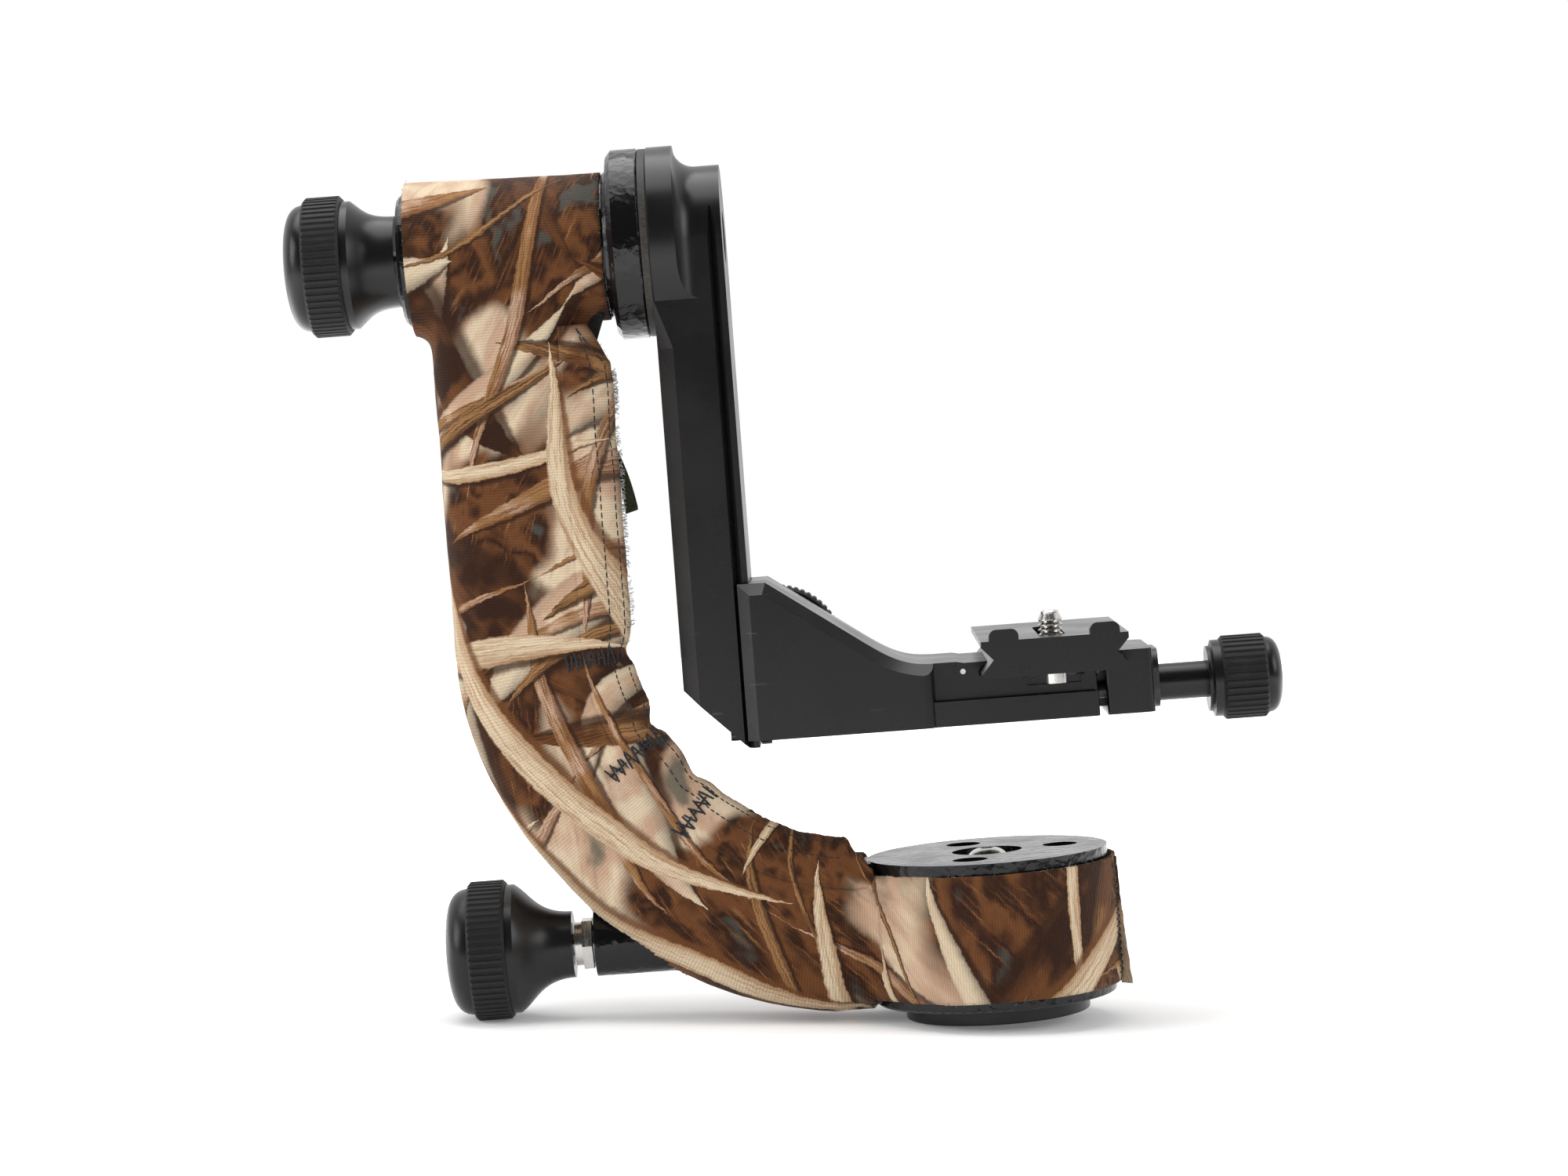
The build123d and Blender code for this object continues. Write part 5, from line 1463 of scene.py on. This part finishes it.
    def _drape(self, shape: bmesh.types.BMesh) -> None:
        """Give the skin its wrinkles: soft waves, folds inside the bends and puckers at the darts.

        Args:
            shape: The skin.
        """
        shape.normal_update()
        moves = [(vert, vert.normal * self._rise(vert.co)) for vert in shape.verts]
        for vert, move in moves:
            vert.co += move

    def _rise(self, place: Vector) -> float:
        """Height of the wrinkles.

        Args:
            place: A place on the skin, in metres.

        Returns:
            The height there, in metres.
        """
        at = place / MM
        (broad, broad_scale), (fine, fine_scale) = self.waves
        rise = broad * noise.noise(at * broad_scale)
        rise += fine * noise.noise(at * fine_scale + Vector((7.0, 0.0, 0.0)))
        if math.hypot(at.x, at.y) > self.band_r + 1.0 and at.z < self.limb_top:
            distance, inward = self.path.locate(place)
            bend = sum(bell(distance - middle, spread) for middle, spread in self.folds)
            near = max(0.0, inward / self.section.half_w) ** 2
            wander = 2.2 * noise.noise(Vector((distance * 0.06, at.y * 0.11, 3.0)))
            rise += self.fold_depth * bend * near * math.sin(distance * math.tau / self.fold_pitch + wander)
        if at.y < self.dart_front:
            rise += sum(self._pucker(Vector((at.x, at.z)), Vector(start), Vector(end))
                        for start, end in self.darts)
        return rise * MM

    def _pucker(self, spot: Vector, start: Vector, end: Vector) -> float:
        """Dip along a dart's stitching, with a swelling on each side.

        Args:
            spot: A place on the front.
            start: Where the dart starts.
            end: Where it ends.

        Returns:
            The dart's share of the height there, in millimetres.
        """
        along = (end - start).normalized()
        reach = (spot - start).dot(along) / (end - start).length
        gap = abs((spot - start).dot(Vector((-along.y, along.x))))
        ends = math.exp(-max(0.0, -reach, reach - 1.0) ** 2 * 30.0)
        (dip, dip_width), (swell, aside, swell_width) = self.dart_dip, self.dart_swell
        return ends * (swell * bell(gap - aside, swell_width) - dip * bell(gap, dip_width))

    def _map(self, shape: bmesh.types.BMesh) -> None:
        """Lay the cloth flat: across and along the knit, in metres, on a map of its own.

        Args:
            shape: The skin.
        """
        layer = shape.loops.layers.uv.new("knit")
        girth = self.section.girth()
        spots = {vert: self._flat(vert.co) for vert in shape.verts}
        for face in shape.faces:
            places = [spots[loop.vert] for loop in face.loops]
            for loop, place in zip(face.loops, places):
                across = place[0]
                if across - places[0][0] > girth / 2:
                    across -= girth
                elif places[0][0] - across > girth / 2:
                    across += girth
                loop[layer].uv = (across * MM, place[1] * MM)

    def _flat(self, place: Vector) -> Span:
        """Find where on the flat cloth a place is.

        Args:
            place: The place, in metres.

        Returns:
            Distances across and along the cloth, in millimetres.
        """
        at = place / MM
        hub_reach, hub_shift = self.map_at_hub
        band_reach, band_shift = self.map_at_band
        if at.z > self.path.top - hub_reach:
            turned = math.atan2(at.z - self.path.top, -at.y)
            return at.x - self.path.x, turned * self.hub_radii[0] + hub_shift
        if math.hypot(at.x, at.y) < self.band_r + band_reach:
            turned = (math.atan2(-at.y, -at.x) + math.pi / 2) % math.tau - math.pi / 2
            joined = self.path.length() - self.path.end_x - self.band_r - band_shift
            return at.z - self.path.level, -turned * self.band_r - joined
        distance, inward = self.path.locate(place)
        across = self.section.around(inward, at.y)
        if inward >= 0 and across > self.section.around(inward, 0.0):
            across -= self.section.girth()
        return across, -distance


@dataclass
class SleeveTrim:
    """Everything sewn to the sleeve: closure fin, seams, darts, tapes and loose fibres.

    All lengths are in millimetres. A span is of distances along the limb, and a share is of the way
    across the fin, from its foot (0) to its outer edge (1). The curl is where the fin starts to bend
    back and how strongly, and a groove is a depth, the share where it runs and its width.
    """

    body: bpy.types.Object
    path: LimbPath = field(default_factory=LimbPath)
    side: float = LimbSection.half_w
    fin_span: Span = (20.5, 233.5)
    fin_foot: float = 13.0
    fin_edge: float = 26.2
    fin_front: float = -15.75
    fin_thick: float = 1.5
    fin_grow: float = 10.5
    fin_fall: float = 10.0
    fin_curl: Span = (15.5, 0.036)
    fin_sway: float = 0.55
    fin_grooves: tuple[tuple[float, float, float], ...] = ((0.32, 0.60, 0.05), (0.2, 0.86, 0.04))
    fin_width: float = 13.0
    fin_grid: tuple[int, int] = (210, 9)
    pinches: tuple[float, ...] = (107.5, 138.0, 160.0)
    pinch: Span = (1.9, 4.5)
    stitch_lines: tuple[tuple[float, float, float], ...] = ((0.60, 21.0, 222.5), (0.88, 31.0, 219.0))
    stitch: float = 2.0
    stitch_gap: float = 0.3
    bar_stitches: int = 4
    dart_pitch: float = 1.2
    dart_half: float = 2.2
    line_pitch: float = 2.1
    band_front: float = 33.75
    band_fin_z: Span = (39.7, 7.5)
    band_fin_reach: Span = (0.5, 2.3)
    band_fin_thick: float = 1.3
    whips: int = 17
    whip_pitch: float = 1.75
    whip_foot: float = 9.2
    tape_span: Span = (24.0, 222.0)
    tape_edges: Span = (-8.2, 4.4)
    tape_rows: int = 121
    hooks: int = 230
    hook_spans: tuple[Span, ...] = ((33.0, 44.0), (48.0, 78.0), (60.0, 100.0))
    view_from: float = -60.0
    fray_span: Span = (24.0, 226.0)
    fin_frays: int = 200
    frays: int = 560
    seed: int = 11
    chance: random.Random = field(init=False)
    skins: list[BVHTree] = field(default_factory=list)

    def __post_init__(self) -> None:
        """Seed the chances and keep the cloth's surface for the sewing."""
        self.chance = random.Random(self.seed)
        self.skins.append(self._tree(self.body))

    @staticmethod
    def _tree(piece: bpy.types.Object) -> BVHTree:
        """A search tree over a piece's faces."""
        return BVHTree.FromPolygons([vert.co for vert in piece.data.vertices],
                                    [face.vertices for face in piece.data.polygons])

    def build(self) -> list[bpy.types.Object]:
        """Make all trim.

        Returns:
            Its pieces.
        """
        fin = self._fin()
        self.skins.append(self._tree(fin))
        return [fin, self._seams(), self._darts(), self._band_fin(), self._band_seam(), self._loop_tape(),
                self._hooks(), self._tail(), self._tab(), self._fibres()]

    # The closure fin

    def _edge_at(self, distance: float) -> float:
        """Find the fin's outer edge.

        Args:
            distance: Distance along the limb.

        Returns:
            The edge's offset inward.
        """
        start, end = self.fin_span
        grow = min(1.0, max(0.0, (distance - start) / self.fin_grow))
        past = max(0.0, distance - end + self.fin_fall)
        fall = 0.85 * past * min(1.0, past / 3.0)
        depth, width = self.pinch
        pinch = sum(depth * bell(distance - middle, width) for middle in self.pinches)
        ripple = 0.55 * noise.noise(Vector((distance * 0.09, 0.0, 0.0)))
        ripple += 0.22 * noise.noise(Vector((distance * 0.6, 4.0, 0.0)))
        return self.side + (self.fin_edge - self.side) * grow + ripple - pinch - fall

    def _fin_spot(self, distance: float, share: float, lift: float = 0.0) -> Vector:
        """A place on the fin's front.

        Args:
            distance: Distance along the limb.
            share: Share of the way across the fin.
            lift: Height above the front.

        Returns:
            The place, in metres.
        """
        inward = self.fin_foot + (self._edge_at(distance) - self.fin_foot) * share
        curl_at, curl = self.fin_curl
        over = max(0.0, inward - curl_at)
        sway = self.fin_sway * noise.noise(Vector((distance * 0.05, 2.0, 5.0))) * share
        return self.path.point(distance, inward, self.fin_front + curl * over ** 2 + sway - lift)

    def _fin(self) -> bpy.types.Object:
        """Make the closure's two layers, sewn flat and standing off the inside of the C.

        Returns:
            The fin.
        """
        shape = bmesh.new()
        bmesh.ops.create_grid(shape, x_segments=self.fin_grid[0], y_segments=self.fin_grid[1], size=0.5)
        start, end = self.fin_span
        flat = {}
        for vert in shape.verts:
            distance, share = start + (end - start) * (vert.co.x + 0.5), vert.co.y + 0.5
            flat[vert] = (self.fin_foot + self.fin_width * share, -distance)
            sink = 0.45 * bell(share, 0.12) + 0.6 * bell(end - distance, 1.5)
            groove = sum(depth * bell(share - middle, width) for depth, middle, width in self.fin_grooves)
            vert.co = self._fin_spot(distance, share, -sink - groove)
        self._lay(shape, flat)
        shape.normal_update()
        if next(iter(shape.faces)).normal.y > 0:
            bmesh.ops.reverse_faces(shape, faces=shape.faces)
        thicken(shape, self.fin_thick)
        return add_piece("closure_fin", shape, Cloth.FABRIC.shader())

    @staticmethod
    def _lay(shape: bmesh.types.BMesh, flat: dict[bmesh.types.BMVert, Span]) -> None:
        """Give a sheet its knit map.

        Args:
            shape: The sheet.
            flat: Distances across and along the cloth of each vertex.
        """
        layer = shape.loops.layers.uv.new("knit")
        for face in shape.faces:
            for loop in face.loops:
                across, along = flat[loop.vert]
                loop[layer].uv = (across * MM, along * MM)

    # Sewing

    def _on_skin(self, place: Vector, ahead: Vector, lift: float) -> Vector | None:
        """Find the cloth ahead of a place.

        Args:
            place: Where to look from, in metres.
            ahead: The way to look.
            lift: Height above the cloth.

        Returns:
            The place over the nearest cloth, in metres, or None where there is none.
        """
        hits = [tree.ray_cast(place, ahead) for tree in self.skins]
        hits = [hit for hit in hits if hit[0] is not None]
        if not hits:
            return None
        spot, normal, _, _ = min(hits, key=lambda hit: hit[3])
        if normal.dot(ahead) > 0:
            normal = -normal
        return spot + normal * lift * MM

    def _front(self, spot: Vector, lift: float) -> Vector | None:
        """A place over the cloth's front, seen along Y, or None beside the cloth."""
        return self._on_skin(Vector((spot.x, self.view_from, spot.y)) * MM, Vector((0.0, 1.0, 0.0)), lift)

    def _seams(self) -> bpy.types.Object:
        """Sew two lines of machine stitches along the fin, with the upper end's slanted bar.

        Returns:
            The stitches.
        """
        runs = []
        for share, first, last in self.stitch_lines:
            distance = first
            while distance < last:
                reach = self.stitch + self.chance.uniform(-0.15, 0.15)
                runs.append([self._fin_spot(distance + reach * part, share, lift - 0.12)
                             for part, lift in ((0.0, -0.25), (0.5, 0.2), (1.0, -0.25))])
                distance += reach + self.stitch_gap
        (low, low_start, _), (high, high_start, _) = self.stitch_lines
        bar_start = low_start + 0.5
        for step in range(self.bar_stitches):
            parts = (step / self.bar_stitches, (step + 0.75) / self.bar_stitches)
            runs.append([self._fin_spot(bar_start + (high_start - bar_start) * part,
                                        low + (high - low) * part, 0.12) for part in parts])
        return add_piece("closure_stitches", thread_shape(runs, 0.20), Cloth.SLATE_THREAD.shader())

    def _darts(self) -> bpy.types.Object:
        """Draw three darts together by hand, with a coarse zigzag over a line of stitches.

        Returns:
            The stitches.
        """
        runs = []
        for start, end in SleeveBody.darts:
            start, end = Vector(start), Vector(end)
            along = (end - start).normalized()
            aside = Vector((-along.y, along.x))
            count = int((end - start).length / self.dart_pitch)
            for index in range(count):
                side = 1 if index % 2 else -1
                spread = self.dart_half + self.chance.uniform(-0.6, 0.5)
                slip = self.chance.uniform(-0.3, 0.3)
                foot = start + along * (index * self.dart_pitch + slip) - aside * side * spread
                head = start + along * (index * self.dart_pitch + 0.8 - slip) + aside * side * spread * 0.9
                runs.append([self._front(foot, -0.1), self._front((foot + head) / 2, 0.42),
                             self._front(head, -0.1)])
            for index in range(int(count / 2.2)):
                spot = start + along * index * self.line_pitch
                next_spot = spot + along * 1.5 + aside * self.chance.uniform(-0.3, 0.3)
                runs.append([self._front(spot, 0.2), self._front(next_spot, 0.2)])
        runs = [run for run in runs if all(spot is not None for spot in run)]
        return add_piece("dart_stitches", thread_shape(runs, 0.27, 2), Cloth.SLATE_THREAD.shader())

    def _band_fin(self) -> bpy.types.Object:
        """Sew the base band's two ends together into a narrow fin that widens downwards.

        Returns:
            The fin.
        """
        shape = bmesh.new()
        bmesh.ops.create_grid(shape, x_segments=48, y_segments=5, size=0.5)
        (top, foot), (least, more) = self.band_fin_z, self.band_fin_reach
        flat = {}
        for vert in shape.verts:
            fall, share = vert.co.x + 0.5, vert.co.y + 0.5
            z = top + (foot - top) * fall
            reach = least + more * fall ** 1.5 + 0.22 * noise.noise(Vector((z * 0.35, 8.0, 0.0)))
            flat[vert] = (z - self.path.level, -330.0 + 4.0 * share)
            vert.co = self._round_band(-11.0 - 4.0 * share * fall, z, -0.5 + (reach + 0.5) * share)
        self._lay(shape, flat)
        thicken(shape, self.band_fin_thick)
        return add_piece("band_fin", shape, Cloth.FABRIC.shader())

    def _band_seam(self) -> bpy.types.Object:
        """Whip the base band's turned end down with dark thread.

        Returns:
            The stitches.
        """
        runs = []
        for index in range(self.whips):
            z = self.whip_foot + index * self.whip_pitch
            runs.append([self._round_band(-16.5 + self.chance.uniform(-0.5, 0.5), z, 0.0),
                         self._round_band(-14.2, z + 0.6, 0.75),
                         self._round_band(-11.8 + self.chance.uniform(-0.5, 0.5), z + 1.1, 0.0)])
        return add_piece("band_stitches", thread_shape(runs, 0.17), Cloth.SLATE_THREAD.shader())

    def _round_band(self, angle: float, z: float, lift: float) -> Vector:
        """A place on the base band in metres, from its angle in degrees, its height and its lift."""
        turn, radius = math.radians(angle), self.band_front + lift
        return Vector((math.cos(turn) * radius, math.sin(turn) * radius, z)) * MM

    # Tapes

    @staticmethod
    def _ribbon(name: str, rows: Sequence[Sequence[Vector]], thick: float, cloth: Cloth) -> bpy.types.Object:
        """A thin strip between pairs of points.

        Args:
            name: The piece's name.
            rows: The two edges' places, row by row.
            thick: The strip's thickness.
            cloth: What it is made of.

        Returns:
            The strip's object.
        """
        shape = bmesh.new()
        bmesh.ops.create_grid(shape, x_segments=len(rows) - 1, y_segments=4, size=0.5)
        for vert in shape.verts:
            row = rows[round((vert.co.x + 0.5) * (len(rows) - 1))]
            vert.co = row[0].lerp(row[1], vert.co.y + 0.5) * MM
        thicken(shape, thick)
        return add_piece(name, shape, cloth.shader())

    @staticmethod
    def _strip(left: Sequence[Vector], right: Sequence[Vector], count: int,
               bow: Vector = Vector()) -> list[tuple[Vector, Vector]]:
        """Rows of a strip with straight or bowed edges.

        Args:
            left: The left edge's two ends.
            right: The right edge's two ends.
            count: Number of rows.
            bow: How far the middle is moved.

        Returns:
            The rows.
        """
        shares = [index / (count - 1) for index in range(count)]
        return [tuple(start.lerp(end, share) + bow * math.sin(share * math.pi)
                      for start, end in (left, right)) for share in shares]

    def _loop_tape(self) -> bpy.types.Object:
        """Lay black loop tape down the inside of the C, behind the fin.

        Returns:
            The tape.
        """
        start, end = self.tape_span
        rows = []
        for index in range(self.tape_rows):
            distance = start + index * (end - start) / (self.tape_rows - 1)
            rows.append([self.path.point(distance, self.side + 0.25 + 0.12
                                         * noise.noise(Vector((distance, y, 0.0))), y) / MM
                         for y in self.tape_edges])
        return self._ribbon("loop_tape", rows, 0.7, Cloth.LOOP_PILE)

    def _hooks(self) -> bpy.types.Object:
        """Scatter the clear hooks that show along the fin's edge.

        Returns:
            The hooks.
        """
        runs = []
        for _ in range(self.hooks):
            distance = self.chance.uniform(*self.chance.choice(self.hook_spans))
            edge, y = self._edge_at(distance), self.chance.uniform(-10.4, -8.2)
            reach, lean = self.chance.uniform(0.5, 1.3), self.chance.uniform(-0.6, 0.6)
            runs.append([self.path.point(distance, edge - 0.3, y),
                         self.path.point(distance + lean, edge + reach, y - 0.2),
                         self.path.point(distance + lean * 1.6, edge + reach * 0.75, y + 0.5)])
        return add_piece("hook_fuzz", thread_shape(runs, 0.085, 0), Cloth.PALE_HOOKS.shader())

    def _tail(self) -> bpy.types.Object:
        """The olive hook tape's loose end, which sticks out behind the fin.

        Returns:
            The tape's end.
        """
        rows = self._strip((Vector((-90.6, -8.6, 156.0)), Vector((-88.3, -5.2, 139.7))),
                           (Vector((-89.0, -8.2, 156.0)), Vector((-85.0, -4.2, 140.6))), 13,
                           Vector((0.5, -0.6, 0.0)))
        return self._ribbon("hook_tape_tail", rows, 0.9, Cloth.OLIVE_TAPE)

    def _tab(self) -> bpy.types.Object:
        """The black lining's corner under the hub's right end.

        Returns:
            The lining's corner.
        """
        rows = self._strip((Vector((-96.6, -8.0, 192.6)), Vector((-93.4, -8.8, 185.8))),
                           (Vector((-89.7, -9.0, 191.8)), Vector((-92.1, -8.6, 185.4))), 9)
        return self._ribbon("lining_tab", rows, 0.8, Cloth.LOOP_PILE)

    @staticmethod
    def _on_rim(place: Vector) -> bool:
        """Find whether a place is on a raw edge, at the hub's ends or at the band's.

        Args:
            place: The place, in metres.

        Returns:
            True on a raw edge.
        """
        x, y, z = (value / MM for value in place)
        left, right = (abs(x - end) < 0.15 for end in SleeveBody.hub_ends)
        hem = min(abs(z - end) for end in SleeveBody.band_ends) < 0.3
        return left or right and z > SleeveBody.hub_base or hem and math.hypot(x, y) < SleeveBody.band_r + 1.0

    def _fibres(self) -> bpy.types.Object:
        """Fray the cloth's raw edges.

        Returns:
            The loose fibres.
        """
        rims = [vert.co for vert in self.body.data.vertices if self._on_rim(vert.co)]
        rims += [self._fin_spot(self.chance.uniform(*self.fray_span), 1.0) for _ in range(self.fin_frays)]
        runs = []
        for root in self.chance.choices(rims, k=self.frays):
            lean = Vector([self.chance.uniform(-1.0, 1.0) for _ in range(3)])
            length = self.chance.uniform(0.4, 1.5)
            runs.append([root, root + lean * 0.45 * length * MM,
                         root + (lean + Vector((0.0, -0.3, 0.2))) * 0.8 * length * MM])
        return add_piece("loose_fibres", thread_shape(runs, 0.045, 0), Cloth.FIBRE.shader())


def dress_sleeve() -> list[bpy.types.Object]:
    """Make the sewn sleeve and let it stand for the CAD model's plain shell.

    Returns:
        The cloth and everything sewn to it.
    """
    cloth = SleeveBody().build()
    trim = SleeveTrim(cloth).build()
    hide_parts("sleeve")
    return [cloth, *trim]


def main() -> None:
    """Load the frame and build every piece."""
    logging.basicConfig(level=logging.INFO, format="%(name)s: %(message)s")
    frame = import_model()
    bpy.context.scene.view_settings.view_transform = "Standard"
    Studio().build()
    HardParts(frame).dress()
    for piece in dress_sleeve():
        LOG.info("sewed %s", piece.name)


if __name__ == "__main__":
    main()
